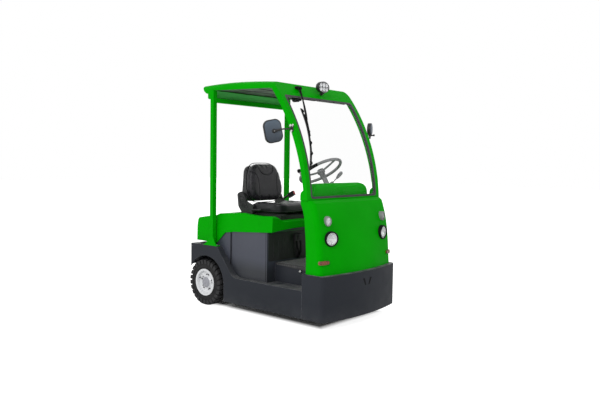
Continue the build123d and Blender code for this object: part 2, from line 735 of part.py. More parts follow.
def roof_panel():
    """Crowned roof tray with rounded shoulders and a tail that curves down behind the posts."""
    post_rear = post_y + post / 2 + running_gap
    skirt_y, over = roof_rear_y - roof_tail[0][0], roof_top + 50
    foot_y, foot_z = roof_rear_y - skirt_foot[0], roof_top - skirt_foot[1]
    outer = [(roof_front_y, roof_edge_z(roof_front_y), 0), (post_rear, roof_edge_z(post_rear), 0),
             (post_rear, foot_z, 0), (foot_y, foot_z, 6), (skirt_y, roof_top - skirt_drop, 6),
             *tail_rows(0), (roof_rear_y - roof_tail_top, over, 0), (roof_front_y, over, 0)]
    front, below = roof_front_y - past, foot_z - 50
    inner = [(front, below, 0), (skirt_y - roof_skin, below, 0), *tail_rows(roof_skin),
             (roof_rear_y - roof_tail_top - roof_skin, over, 0), (front, over, 0)]
    inner_half = hoop_half - roof_skin
    tray = crowned(0, below - 50) & side_prism(outer, -hoop_half, hoop_half)
    return tray - (crowned(roof_skin, below - 50) & side_prism(inner, -inner_half, inner_half))


def roof_rails():
    """Ceiling lining with the side rails that carry it."""
    half = hoop_half - roof_skin - 2 * fit
    rear = roof_rear_y - roof_tail[0][0] - roof_skin - fit

    def layer(low, high):
        return [(roof_front_y, roof_edge_z(roof_front_y) + low, 0), (rear, roof_edge_z(rear) + low, 0),
                (rear, roof_edge_z(rear) + high, 0), (roof_front_y, roof_edge_z(roof_front_y) + high, 0)]

    sheet_rows = layer(lining_set, lining_set + lining)
    return side_prism(sheet_rows, -half, half) + both(
        side_prism(layer(0, lining_set + overlap), -half, -half + roof_rail))


def rear_hoop():
    """Two square posts on flared feet, joined by the rear beam."""
    front, rear = post_y - post / 2, post_y + post / 2
    inner = -post_outer + post
    leg = block(-post_outer, inner, front, rear, fender_top, roof_edge_z(front))
    flare = [(post_y - foot_front, fender_top, 0), (post_y - foot_front + 28, fender_top + 36, 14),
             (front + overlap, fender_top + gusset_height + 20, 0),
             (rear - overlap, fender_top + gusset_height + 20, 0),
             (post_y + 50, fender_top + 40, 20), (post_y + foot_rear - 30, fender_top + 16, 10),
             (post_y + foot_rear, fender_top, 0)]
    leg += side_prism(flare, -post_outer, -post_outer + sheet)
    leg += block(-post_outer, inner, post_y - foot_front, post_y + foot_rear, fender_top,
                 fender_top + foot_plate)
    top = roof_top - beam_top_drop
    beam = block(-post_outer + overlap, post_outer - overlap, front, rear, top - beam_depth, top)
    return both(leg) + beam


# ---- hood and seat -----------------------------------------------------------
def hood_form(inset=0.0):
    """The moulded hood's outer form, or the space inside its wall, open below."""
    below = 2 * inset
    hem = [(y, z - below, corner) for y, z, corner in hood_hem]
    crest = [(y, z - inset, corner) for y, z, corner in hood_crest]
    front_low, front_high = hood_front_y + inset, hood_front_y + hood_front_lean + inset
    rows = [
        (hood_rear_y - inset, hood_bottom - below, 0), *hem, (front_low, hood_hem_front_z - below, 0),
        (front_high, hood_front_z - inset, hood_corner_r - inset), *crest,
        (hood_rear_y - hood_rear_lean - inset, hood_tail_z - inset, hood_corner_r - inset)]
    half, top_half = hood_half - inset, hood_top_half - inset
    top = max(z for y, z, corner in hood_crest) + 8 - inset
    ends = [(-half, hood_bottom - 50, 0), (half, hood_bottom - 50, 0), (half, hood_waist_z, 60),
            (top_half, top, 34), (-top_half, top, 34), (-half, hood_waist_z, 60)]
    return side_prism(rows, -half, half) & front_prism(ends, hood_front_y - 50, hood_rear_y + 50)


def well_form(grow=0.0):
    """The seat well between the hood's wings, its sides sloped."""
    side = 0.28 * grow
    right = [(well_floor_half + side, well_z - grow, 12), (well_mid_half + side, well_mid_z - grow, 40),
             (well_brim_half + side, well_brim_z - grow, 10), (well_brim_half + side, 1000, 0)]
    rows = right + [(-x, z, corner) for x, z, corner in reversed(right)]
    front, rear, half = hood_front_y - 50, well_rear_y + grow, hood_half
    plan = [(-half, front, 0), (half, front, 0), (half, rear, 90), (-half, rear, 90)]
    return front_prism(rows, front, rear) & plan_prism(plan, well_z - grow - past, 1001)


def hood():
    """Moulded hood with the seat well, its arched front edge, rest pad and hinge knuckles."""
    shell = hood_form() - well_form() - (hood_form(hood_wall) - well_form(hood_wall))
    low = hood_hem_front_z
    arch = make_face([Line((-hood_half, low), (hood_half, low)),
                      ThreePointArc((hood_half, low), (0, low + hood_arch), (-hood_half, low))])
    shell -= extrude(Pos(0, hood_front_y + hood_wall + 10, 0) * (Plane.XZ * arch), 60)
    rest_z = box_top + running_gap
    rest = block(-70, 70, hood_front_y + hood_wall - overlap + 4, box_front_y + box_wall, rest_z + 18,
                 rest_z + 26)
    rest += block(-60, 60, box_front_y + fit, box_front_y + box_wall, rest_z, rest_z + 20)
    return shell + rest + hinge_knuckles()


def seat_base():
    """Suspension box and slide rails under the cushion."""
    low, top = well_z, well_z + base_height
    front, rear = cushion_front_y + 30, cushion_front_y + cushion_length - 50
    solid = block(-seat_base_half, seat_base_half, front, rear, low, top - slide_height + overlap)
    rail_block = block(-178, -142, front - 25, rear + 5, top - slide_height, top)
    return solid + both(rail_block)


def cushion_z():
    return well_z + base_height + running_gap


def seat_cushion():
    low = cushion_z()
    rear = cushion_front_y + cushion_length
    rows = [(cushion_front_y, low, 20), (rear, low, 20), (rear, low + cushion_height - 12, 30),
            (cushion_front_y, low + cushion_height, 34)]
    return side_prism(rows, -seat_half, seat_half)


def lean(shape):
    """Tip a piece of the backrest back about its lower front edge."""
    return Pos(0, back_y, back_z) * (Rot(-back_lean, 0, 0) * shape)


def seat_backrest():
    rows = [(20 - back_half, 0, 40), (back_half - 20, 0, 40), (back_half, 130, 120),
            (back_half - 50, back_height, 80), (50 - back_half, back_height, 80),
            (-back_half, 130, 120)]
    return lean(front_prism(rows, 0, back_thickness))


def seat_frame():
    """Upright back shell and the recliner brackets that carry it."""
    behind = lean(block(-shell_half, shell_half, -300, back_thickness + running_gap, -200, 500))
    low_z, brow = back_z + 10, shell_top_z
    outline = [(-shell_half, low_z, 40), (shell_half, low_z, 40), (shell_half - 30, brow, 70),
               (30 - shell_half, brow, 70)]
    side_rows = [(back_y, low_z - past, 0), (shell_rear_y - 30, low_z - past, 0),
                 (shell_rear_y, low_z + 45, 40), (shell_rear_y, brow, 18), (back_y, brow, 0)]
    shell = front_prism(outline, back_y, shell_rear_y) & side_prism(side_rows, -shell_half, shell_half)
    shell -= behind
    low = well_z + base_height - 34
    outer_x = -seat_half - bracket
    cover = [(215, low, 20), (well_rear_y - 4, low, 20), (well_rear_y - 1, low + 34, 0),
             (388, 891, 40), (403, 1006, 25), (340, 1030, 25),
             (290, 940, 60), (200, 905, 14)]
    side = side_prism(cover, outer_x, -seat_half - running_gap)
    side += block(outer_x, -seat_base_half, 240, 270, low, low + 12)
    side += block(outer_x, -shell_half + 10, 360, 385, 985, 1010)
    return shell + both(side)


def belt_buckle():
    x = seat_half + bracket + 13
    stalk = rod((x, 335, 928), (x, 228, 987), 9)
    head = Pos(x, 203, 990) * (Rot(-28, 0, 0) * Box(26, 72, 43))
    foot = block(seat_half + bracket, x + 11, 320, 352, 905, 945)
    return stalk + head + foot


# ---- controls ----------------------------------------------------------------
def wheel_plane(offset=0.0):
    """Plane of the steering wheel, its normal up the column, x to the left and y to the driver."""
    tilt = Plane(origin=wheel_centre, x_dir=(1, 0, 0), z_dir=(0, 0, 1)).rotated((-wheel_tilt, 0, 0))
    return tilt.offset(offset)


def steering_wheel():
    """Rim, hub, three spokes and the turning knob on its stem."""
    inner_r = wheel_r - 30
    solid = wheel_plane() * Torus(wheel_r, wheel_grip_r) + wheel_plane(-8) * Cylinder(34, wheel_hub)
    for index in range(3):
        spoke = Pos((wheel_r + 30) / 2, 0, -6) * Box(inner_r, 22, 9)
        solid += wheel_plane() * (Rot(0, 0, 90 + 120 * index) * spoke)
    at = Pos(-0.892 * wheel_r, 0.452 * wheel_r, 0)
    knob = at * Pos(0, 0, 24) * Cylinder(6, 36) + at * Pos(0, 0, 52) * Cylinder(14, 27)
    return solid + wheel_plane() * knob


def steering_column():
    """Column down to the dash, and the direction lever beside it."""
    top = -8 - wheel_hub / 2 - running_gap
    column = wheel_plane(top - column_length / 2) * Cylinder(column_r, column_length)
    lever = rod((98, -506, 1090), (172, -424, 1200), 5) + rod((158, -438, 1176), (183, -414, 1216), 11)
    dash = dash_console()
    return Compound(children=(column - dash).solids().sort_by(Axis.Z)[-1:]
                    + (lever - dash).solids().sort_by(Axis.Z)[-1:])


def pedals():
    """Accelerator and brake pads on hanging arms from the bulkhead."""
    solids = []
    face_y, pivot_z = bulkhead_y + 10, floor_top + 190
    for x, width in ((-95, 60), (-190, 90)):
        arm = rod((x, face_y + 12, pivot_z), (x, face_y + 80, pivot_z - 120), 8)
        pad = Pos(x, face_y + 84, pivot_z - 128) * (Rot(-35, 0, 0) * Box(width, 12, 80))
        root = block(x - 16, x + 16, face_y, face_y + 18, pivot_z - 25, pivot_z + 25)
        solids += (arm + pad + root).solids()
    return Compound(children=solids)


# ---- lamps, wiper, mirrors ---------------------------------------------------
def lamp_place(lamp):
    x, y, z, half_width, half_height, turn = lamp
    return Pos(x, y, z) * Rot(0, 0, -turn)


def lamp_form(lamp, grow, front, back):
    """The lamp's oval carried along its axis, grown or shrunk all round."""
    half_width, half_height = lamp[3:5]
    return lamp_place(lamp) * oval(half_width + grow, half_height + grow, front, back)


def front_lamps(lamp):
    """Bezels seated on the cowl, with domed lenses and plugs in the cowl's holes."""
    half_width = lamp[3]
    bezel = lamp_form(lamp, 0, 0, 60)
    plug = lamp_form(lamp, -lamp_lip - running_gap, 0, 45)
    ball_r = (half_width ** 2 + lamp_dome ** 2) / (2 * lamp_dome)
    ball = lamp_place(lamp) * Pos(0, ball_r - lamp_dome, 0) * Sphere(ball_r)
    lens = lamp_form(lamp, -lamp_lip / 2, lamp_dome + past, overlap) & ball
    return pair((bezel + lens - cowl_body()) + plug)


def front_reflectors():
    """Rounded strips that wrap round the cowl's front corners."""
    low, high, end = reflector_z - reflector_half, reflector_z + reflector_half, reflector_half - 0.2
    wide = body_half + 20
    front = [(-wide, low, 0), (-reflector_front_x, low, end), (-reflector_front_x, high, end),
             (-wide, high, 0)]
    side = [(-900, low, 0), (reflector_rear_y, low, end), (reflector_rear_y, high, end), (-900, high, 0)]
    strip = front_prism(front, -900, -600) & side_prism(side, -wide, -reflector_front_x + past)
    shifted = Pos(-reflector_proud, -reflector_proud - 1, 0) * cowl_body()
    return pair((strip & shifted) - cowl_body())


def behind_windscreen():
    """Everything behind the windscreen curve."""
    high = roof_top - 10
    outer = arc_edge(front_arc, cowl_top - 40, high)
    profile = make_face([outer, Line(outer @ 1, (0, high)), Line((0, high), (0, cowl_top - 40)),
                         Line((0, cowl_top - 40), outer @ 0)])
    return extrude(Pos(-hoop_half, 0, 0) * (Plane.YZ * profile), 2 * hoop_half)


def work_lamp():
    """Oval lamp on a short stalk in front of the header."""
    x, y, z = work_lamp_at
    half_width, half_height = work_lamp_half
    body = Pos(x, y, z) * oval(half_width, half_height, 0, work_lamp_depth)
    rings = ((work_lamp_depth, 0), (work_lamp_depth + 10, 8), (work_lamp_depth + 16, 24))
    body += loft([Pos(x, y + back, z) * (Plane.XZ * Ellipse(half_width - shrink, half_height - shrink))
                  for back, shrink in rings])
    foot_z = z - 47
    seat_y = arc_y(front_arc, foot_z)
    stalk = rod((x + 22, seat_y, foot_z), (x + 14, y + work_lamp_depth - 4, z - 24), 10)
    foot = block(x, x + 44, seat_y - 14, seat_y + 20, foot_z - 17, foot_z + 17)
    return body + (stalk + foot - behind_windscreen())


def wiper():
    """Arm and blade that hang from the header in front of the glass."""
    pivot_z = roof_top - 61
    stand_off = 17.0

    def on_glass(x, drop, off=stand_off):
        z = pivot_z - drop
        return Vector(x, arc_y(front_arc, z) - off, z)

    pivot = Vector(-222, arc_y(front_arc, pivot_z) - 26, pivot_z)
    elbow = on_glass(-322, 198, 36)
    grip = on_glass(-344, 272, 28)
    blade = [on_glass(x, drop) for x, drop in ((-337, 180), (-352, 330), (-387, 505), (-435, 644))]
    solid = lamp_barrel(pivot.X, pivot.Z, pivot.Y - 12, pivot.Y + 60, 16)
    solid += rod(pivot, elbow, 5) + rod(elbow, grip, 5) + rod(grip, on_glass(-346, 272), 5)
    for start, end in zip(blade, blade[1:]):
        solid += rod(start, end, 6)
    for joint in (elbow, grip, *blade[1:-1]):
        solid += Pos(joint.X, joint.Y, joint.Z) * Sphere(6)
    return solid - behind_windscreen()


def pillar_middle_y(z):
    return (arc_y(front_arc, z) + arc_y(rear_arc, z)) / 2


def mirror_right():
    """Right mirror: tilted head, pivot, arm and clamp on the pillar."""
    x, y, z = mirror_at
    half, rise = mirror_size[0] / 2, mirror_size[2] / 2
    rows = [(across, up, mirror_corner_r) for across, up in ((-half, -rise), (half, -rise),
                                                             (half, rise), (-half, rise))]
    place = Pos(-x, y, z) * Rot(0, 0, -mirror_yaw) * Rot(0, -mirror_tilt, 0)
    head = place * fillet(front_prism(rows, 0, mirror_size[1]).edges().group_by(Axis.Y)[0], 8)
    head += place * lamp_barrel(0, 0, -18, 8, 13)
    clamp_z = z + 24
    clamp_y = pillar_middle_y(clamp_z) + 6
    arm_end = (-hoop_half - 10, clamp_y, clamp_z)
    arm = rod((-x, y - 12, z), (-x + 70, y - 30, z + 18), 7) + rod((-x + 70, y - 30, z + 18), arm_end, 6)
    arm += Pos(-x + 70, y - 30, z + 18) * Sphere(7)
    clamp = block(-hoop_half - 18, -hoop_half, clamp_y - 18, clamp_y + 18, clamp_z - 24, clamp_z + 34)
    return head + arm + clamp


def mirror_left():
    """Left mirror: small domed oval head on a bent neck."""
    x, y, z = left_mirror_at
    half_width, half_height = left_mirror_half
    place = Pos(x, y, z) * Rot(0, 0, mirror_yaw)
    body = oval(half_width, half_height, left_mirror_depth / 2, left_mirror_depth / 2)
    head = place * fillet(body.edges().group_by(Axis.Y)[0], 14)
    low = z - half_height
    neck_z = low - 28
    clamp_y = pillar_middle_y(neck_z)
    neck = rod((x, y, low + 4), (x - 4, y - 4, neck_z), 9) + Pos(x - 4, y - 4, neck_z) * Sphere(9)
    neck += rod((x - 4, y - 4, neck_z), (hoop_half + 8, clamp_y, neck_z), 7)
    knob = rod((x, y, low - 2), (x + 12, y - 40, low), 8)
    clamp = block(hoop_half, hoop_half + 16, clamp_y - 16, clamp_y + 16, neck_z - 24, neck_z + 24)
    return head + neck + knob + clamp


def rear_lamps():
    inner, outer, low, high = 108 - body_half, 48 - body_half, fender_top - 108, fender_top - 28
    rows = [(outer, low, 10), (inner, low, 10), (inner, high, 10), (outer, high, 10)]
    return pair(front_prism(rows, rear_y, rear_y + 26))


# ---- tow coupling ------------------------------------------------------------
def tow_coupling():
    """Stepped coupling: upright back plate, stacked jaws and the pin's socket."""
    tip = rear_y + coupling_reach
    high = jaw_z + jaw_pitch * (jaw_count - 1) + jaw
    solid = block(-coupling_half, pin_x + 40, rear_y, rear_y + plate, jaw_z - 20, high + 20)
    root, narrow = rear_y + plate - overlap, coupling_half - coupling_taper
    rows = [(-coupling_half, root, 0), (coupling_half, root, 0), (narrow, tip, coupling_corner_r),
            (-narrow, tip, coupling_corner_r)]
    for index in range(jaw_count):
        low = jaw_z + jaw_pitch * index
        solid += plan_prism(rows, low, low + jaw)
    solid -= Pos(0, tip - coupling_hole_back, (jaw_z + high) / 2) * Cylinder(coupling_hole_r, high)
    middle = Pos(pin_x, pin_y, socket_top - socket_height / 2)
    solid += middle * Cylinder(pin_r + socket_wall, socket_height)
    solid += block(pin_x - 8, pin_x + 8, root, pin_y, socket_top - socket_height, socket_top)
    return solid - middle * Cylinder(pin_r + running_gap, socket_height + 2 * past)


def tow_pin():
    """The coupling pin, parked in its socket."""
    shoulder = socket_top + running_gap
    solid = Pos(pin_x, pin_y, shoulder + 10 - pin_length / 2) * Cylinder(pin_r, pin_length)
    solid += Pos(pin_x, pin_y, shoulder + 6) * Cylinder(pin_r + 6, 12)
    return solid + Pos(pin_x, pin_y, shoulder + 40) * (Rot(90, 0, 0) * Torus(26, 5))


# ---- all nodes ---------------------------------------------------------------
def build():
    left_plate, left_rim = mirror(side_plate(), about=Plane.YZ), rear_rim()
    left_tyre = tyre(rear_wheel_x, rear_axle_y, rear_tyre_r, rear_seat_r, rear_flange, rear_tyre_width)
    return {
        "chassis_frame": chassis_frame(),
        "side_plate_right": side_plate(),
        "side_plate_left": left_plate,
        "front_bumper": front_bumper(),
        "door_steps": door_steps(),
        "floor_plate": floor_plate(),
        "floor_mat": floor_mat(),
        "battery_box": battery_box(),
        "battery": battery(),
        "side_panels": side_panels(),
        "transaxle": transaxle(),
        "rear_rim_right": mirror(left_rim, about=Plane.YZ),
        "rear_tyre_right": mirror(left_tyre, about=Plane.YZ),
        "rear_rim_left": left_rim,
        "rear_tyre_left": left_tyre,
        "slewing_bearing": slewing_bearing(),
        "steering_fork": steering_fork(),
        "front_rim": front_rim(),
        "front_tyre": tyre(0, front_wheel_y, front_tyre_r, front_seat_r, front_flange,
                           front_tyre_width),
        "front_cowl": front_cowl(),
        "dash_console": dash_console(),
        "windscreen_frame": windscreen_frame(),
        "windscreen": windscreen(),
        "windscreen_seal": windscreen_seal(),
        "roof_panel": roof_panel(),
        "roof_rails": roof_rails(),
        "rear_hoop": rear_hoop(),
        "hood": hood(),
        "seat_base": seat_base(),
        "seat_cushion": seat_cushion(),
        "seat_backrest": seat_backrest(),
        "seat_frame": seat_frame(),
        "belt_buckle": belt_buckle(),
        "steering_column": steering_column(),
        "steering_wheel": steering_wheel(),
        "pedals": pedals(),
        "headlights": front_lamps(headlight),
        "upper_lamps": front_lamps(upper_lamp),
        "front_reflectors": front_reflectors(),
        "work_lamp": work_lamp(),
        "wiper": wiper(),
        "mirror_right": mirror_right(),
        "mirror_left": mirror_left(),
        "rear_lamps": rear_lamps(),
        "tow_coupling": tow_coupling(),
        "tow_pin": tow_pin(),
    }


os.makedirs("parts", exist_ok=True)
for name, shape in build().items():
    export_step(shape, f"parts/{name}.step")
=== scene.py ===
import bpy
import bmesh
import json
from math import copysign, cos, exp, pi, radians, sin, sqrt
from mathutils import Matrix, Vector
from mathutils.bvhtree import BVHTree


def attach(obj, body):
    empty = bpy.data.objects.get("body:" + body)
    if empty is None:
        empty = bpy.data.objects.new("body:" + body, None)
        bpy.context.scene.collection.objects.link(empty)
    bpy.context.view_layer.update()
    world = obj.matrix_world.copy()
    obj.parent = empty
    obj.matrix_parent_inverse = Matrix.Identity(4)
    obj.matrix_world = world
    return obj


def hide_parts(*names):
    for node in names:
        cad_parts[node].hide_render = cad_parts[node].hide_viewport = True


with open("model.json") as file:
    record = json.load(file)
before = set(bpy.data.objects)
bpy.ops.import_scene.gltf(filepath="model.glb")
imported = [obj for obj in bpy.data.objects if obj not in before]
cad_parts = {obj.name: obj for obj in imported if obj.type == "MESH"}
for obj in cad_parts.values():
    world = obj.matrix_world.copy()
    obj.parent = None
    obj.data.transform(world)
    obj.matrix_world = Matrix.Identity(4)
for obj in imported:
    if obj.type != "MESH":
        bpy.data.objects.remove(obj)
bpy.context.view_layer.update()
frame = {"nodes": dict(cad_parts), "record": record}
nodes = frame["nodes"]

# ---- camera: seen from the front right, a little above the hood ------------------
camera_at = Vector((-4.2121, -3.7213, 1.3094))
camera_aim = Vector((0.7593, 0.6477, -0.0625))     # unit direction of view
camera_roll = radians(0.836)
camera_lens = 37.91                                # mm on a 36 mm wide sensor


def link(name, data):
    made = bpy.data.objects.new(name, data)
    bpy.context.scene.collection.objects.link(made)
    return made


def aimed(name, data, at, towards, roll=0.0):
    made = link(name, data)
    made.location = at
    made.rotation_mode = "QUATERNION"
    level = Vector(towards).to_track_quat("-Z", "Y")
    made.rotation_quaternion = level @ Matrix.Rotation(roll, 3, "Z").to_quaternion()
    return made


def add_camera():
    data = bpy.data.cameras.new("camera")
    data.sensor_width, data.lens = 36.0, camera_lens
    bpy.context.scene.camera = aimed("camera", data, camera_at, camera_aim, camera_roll)


# ---- materials -------------------------------------------------------------------
class Nodes:
    """Makes and links the nodes of one tree."""

    def __init__(self, tree):
        self.tree = tree

    def feed(self, socket, value):
        if isinstance(value, bpy.types.NodeSocket):
            self.tree.links.new(value, socket)
        else:
            socket.default_value = value

    def node(self, kind, inputs=(), **props):
        made = self.tree.nodes.new("ShaderNode" + kind)
        for key, value in props.items():
            setattr(made, key, value)
        for key, value in dict(inputs).items():
            self.feed(made.inputs[key], value)
        return made

    def maths(self, operation, a, b=0.0):
        return self.node("Math", {0: a, 1: b}, operation=operation).outputs[0]

    def times(self, a, b):
        return self.maths("MULTIPLY", a, b)

    def vectors(self, operation, **inputs):
        keys = {"a": 0, "b": 1, "scale": "Scale"}
        return self.node("VectorMath", {keys[k]: v for k, v in inputs.items()}, operation=operation).outputs

    def span(self, value, low, high, start=0.0, end=1.0):
        return self.node("MapRange", {"Value": value, "From Min": low, "From Max": high, "To Min": start,
                "To Max": end}).outputs[0]

    def mix(self, amount, a, b):
        a, b = (c if isinstance(c, bpy.types.NodeSocket) else (*c, 1) for c in (a, b))
        return self.node("Mix", {0: amount, 6: a, 7: b}, data_type="RGBA").outputs[2]


class Finish(Nodes):
    """A procedural material: a Principled shader fed by nodes in object space."""

    def __init__(self, name, rough, colour, metallic=0.0, **sockets):
        self.material = bpy.data.materials.new(name)
        self.material.use_nodes = True
        super().__init__(self.material.node_tree)
        self.shader = self.tree.nodes["Principled BSDF"]
        self.set(Roughness=rough, Metallic=metallic, Base_Color=(*colour, 1), **sockets)
        self.where = self.node("TexCoord").outputs["Object"]
        self.colour, self.rough = colour, rough

    def set(self, **sockets):
        for key, value in sockets.items():
            self.feed(self.shader.inputs[key.replace("_", " ")], value)

    def noise(self, scale, detail=3.0, rough=0.5, where=None):
        return self.node("TexNoise", {"Vector": where or self.where, "Scale": scale, "Detail": detail,
                "Roughness": rough}).outputs["Fac"]

    def cells(self, scale, feature="F1", where=None):
        return self.node("TexVoronoi", {"Vector": where or self.where, "Scale": scale},
                feature=feature).outputs["Distance"]

    def waves(self, scale, axis):
        return self.node("TexWave", {"Vector": self.where, "Scale": scale, "Distortion": 0.0},
                bands_direction=axis).outputs["Fac"]

    def axis(self, name):
        return self.node("SeparateXYZ", {0: self.where}).outputs[name]

    def normal(self):
        return self.node("NewGeometry").outputs["Normal"]

    def soft_edges(self, radius):
        """A normal rounded at the edges, and a mask of where the edges are."""
        rounded = self.node("Bevel", {"Radius": radius}, samples=4).outputs["Normal"]
        dot = self.vectors("DOT_PRODUCT", a=rounded, b=self.normal())["Value"]
        return rounded, self.span(dot, 0.985, 0.88)

    def bump(self, height, depth, normal=None):
        inputs = {"Height": height, "Distance": depth, "Strength": 1.0}
        if normal:
            inputs["Normal"] = normal
        return self.node("Bump", inputs).outputs["Normal"]

    def done(self, colour, rough, normal):
        self.set(Base_Color=colour, Roughness=rough, Normal=normal)
        return self.material

    def uneven(self, amount, scale):
        """The base colour made a little lighter and darker in soft patches."""
        dark = tuple(c * (1 - amount) for c in self.colour)
        light = tuple(min(1.0, c * (1 + amount)) for c in self.colour)
        return self.mix(self.span(self.noise(scale, 4.0), 0.3, 0.7), dark, light)

    def rough_patches(self, amount, scale):
        return self.span(self.noise(scale, 5.0), 0.3, 0.7, self.rough - amount, self.rough + amount)


def paint(name, colour, rough, specular, edge, edge_highlight, dust=0.0, dust_height=0.0, bevel=0.003):
    """Sprayed paint: faint orange peel, rounded edges lightened by a painted highlight and wear, dust low
    down, and dust with a painted top light on ledges.
    """
    f = Finish(name, rough, colour, Specular_IOR_Level=specular)
    rounded, mask = f.soft_edges(bevel)
    # Edges lightened in patches towards the edge colour: a painted highlight along the edges, partly wear.
    edge_highlight_and_wear = f.times(mask, f.span(f.noise(22.0, 4.0), 0.35, 0.65))
    base = f.mix(f.times(edge_highlight_and_wear, edge), f.uneven(0.07, 2.6), edge_highlight)
    if dust:
        # Upward faces lightened towards the dust colour: dust together with a painted top light on ledges.
        # The lightening low down is dust.
        upward = f.node("SeparateXYZ", {0: f.normal()}).outputs["Z"]
        dust_and_painted_top_light = f.times(f.span(upward, 0.5, 1.0), 2.2)
        film = f.maths("MAXIMUM", dust_and_painted_top_light, f.span(f.axis("Z"), dust_height, 0.06, 0.0, 0.3))
        film = f.times(film, f.span(f.noise(7.0, 6.0, 0.65), 0.35, 0.72))
        base = f.mix(f.times(film, dust), base, (0.205, 0.205, 0.207))
    return f.done(base, f.rough_patches(0.06, 6.0), f.bump(f.noise(420.0, 2.0), 0.00012, rounded))


def moulded(name, colour, rough, light=(0.1, 0.1, 0.105), specular=0.45):
    """Moulded plastic with a fine grain and a painted highlight along its edges."""
    f = Finish(name, rough, colour, Specular_IOR_Level=specular)
    rounded, mask = f.soft_edges(0.0015)
    # Edges lightened towards the light colour: a painted highlight.
    return f.done(f.mix(f.times(mask, 0.35), f.uneven(0.18, 9.0), light), f.rough_patches(0.07, 14.0),
            f.bump(f.cells(1500.0), 0.00012, rounded))


def rubber(name, colour, rough, dust):
    f = Finish(name, rough, colour, Specular_IOR_Level=0.3)
    film = f.times(f.span(f.noise(16.0, 7.0, 0.7), 0.4, 0.8), dust)
    grain = f.maths("ADD", f.noise(900.0, 3.0), f.times(f.noise(120.0, 3.0), 1.5))
    return f.done(f.mix(film, f.uneven(0.2, 30.0), (0.125, 0.123, 0.12)), f.rough_patches(0.08, 20.0),
            f.bump(grain, 0.0003))


def metal(name, colour, rough, along=(1.0, 1.0, 1.0), brushed=260.0):
    """Bare or plated metal with brush marks and faint stains."""
    f = Finish(name, rough, colour, 1.0)
    stretched = f.node("Mapping", {"Vector": f.where, "Scale": along}).outputs["Vector"]
    lines = f.noise(brushed, 5.0, 0.7, stretched)
    stain = f.span(f.noise(34.0, 6.0, 0.6), 0.45, 0.75, 0.0, 0.5)
    return f.done(f.mix(stain, colour, tuple(0.55 * c for c in colour)),
            f.span(lines, 0.3, 0.7, rough - 0.07, rough + 0.12), f.bump(lines, 0.00008))


def clear(name, colour, rough, alpha, ribs=0.0):
    """Clear sheet or lens; ribs gives a lens its upright flutes."""
    f = Finish(name, rough, colour, Specular_IOR_Level=0.6, Alpha=alpha, IOR=1.5)
    smears = f.span(f.noise(5.0, 6.0, 0.6), 0.45, 0.8, rough, rough + 0.05)
    f.set(Base_Color=f.uneven(0.04, 3.0), Roughness=smears)
    if ribs:
        f.set(Normal=f.bump(f.waves(ribs, "X"), 0.0006))
    f.material.surface_render_method = "BLENDED"
    return f.material


def tinted_lens(name, colour, deep, pitch):
    """Coloured lens plastic moulded with rows of small prisms."""
    f = Finish(name, 0.16, colour, Specular_IOR_Level=0.6, Coat_Weight=0.5, Coat_Roughness=0.05)
    rows = [f.waves(pitch, axis) for axis in "XYZ"]
    prisms = f.maths("ADD", f.maths("MAXIMUM", rows[0], rows[1]), rows[2])
    f.set(Base_Color=f.mix(f.span(prisms, 0.5, 1.8), deep, colour), Normal=f.bump(prisms, 0.0007))
    return f.material


def vinyl(name, colour, rough):
    """Seat vinyl: pebbled grain, fine creases, shinier in soft patches."""
    f = Finish(name, rough, colour, Specular_IOR_Level=0.34, Sheen_Weight=0.04)
    pebble = f.cells(420.0, "SMOOTH_F1")
    wander = f.node("TexNoise", {"Vector": f.where, "Scale": 30.0}).outputs["Color"]
    wander = f.vectors("ADD", a=f.where, b=f.vectors("SCALE", a=wander, scale=0.006)[0])[0]
    crease = f.cells(95.0, "DISTANCE_TO_EDGE", wander)
    grain = f.maths("ADD", pebble, f.times(f.span(crease, 0.0, 0.12), 0.6))
    return f.done(f.mix(f.span(f.noise(11.0, 5.0), 0.35, 0.7), colour, tuple(1.5 * c for c in colour)),
            f.rough_patches(0.07, 9.0), f.bump(grain, 0.00045))


def box_side(name, colour, rough):
    """Satin paint of the battery box, lighter above about 0.45 m as a painted reflection of the horizon,
    with a painted highlight on its edges.
    """
    f = Finish(name, rough, colour, Specular_IOR_Level=0.35)
    rounded, mask = f.soft_edges(0.003)
    # Darker below about 0.45 m, lighter above: a painted reflection of the horizon.
    foot = f.span(f.maths("ADD", f.axis("Z"), f.times(f.noise(4.0), 0.05)), 0.4, 0.5)
    base = f.mix(foot, (0.029, 0.032, 0.04), f.uneven(0.06, 2.0))
    # Edges lightened: a painted highlight.
    return f.done(f.mix(f.times(mask, 0.35), base, (0.2, 0.21, 0.24)), f.rough_patches(0.06, 5.0),
            f.bump(f.noise(420.0, 2.0), 0.00012, rounded))


def wheel_white(name, colour, rough):
    """White wheel paint, darker in soft patches across the dish inside 98 mm of the hub."""
    f = Finish(name, rough, colour, Specular_IOR_Level=0.4, Coat_Weight=0.25)
    rounded = f.soft_edges(0.003)[0]
    across = f.vectors("SUBTRACT", a=f.where, b=(0.0, *rear_axle))[0]
    radius = f.vectors("LENGTH", a=f.vectors("MULTIPLY", a=across, b=(0, 1, 1))[0])["Value"]
    dish = f.span(radius, 0.098, 0.06)
    dish_darkening = f.times(dish, f.span(f.noise(28.0, 6.0, 0.65), 0.45, 0.75, 0.0, 0.28))
    return f.done(f.mix(dish_darkening, f.uneven(0.03, 8.0), (0.3, 0.3, 0.32)), f.rough_patches(0.07, 18.0),
            f.bump(f.noise(500.0, 2.0), 0.0001, rounded))


def lining_board(name, colour, rough):
    """Pressed ceiling lining."""
    f = Finish(name, rough, colour, Specular_IOR_Level=0.2)
    f.set(Base_Color=f.uneven(0.12, 5.0), Normal=f.bump(f.noise(700.0, 3.0), 0.0004))
    return f.material


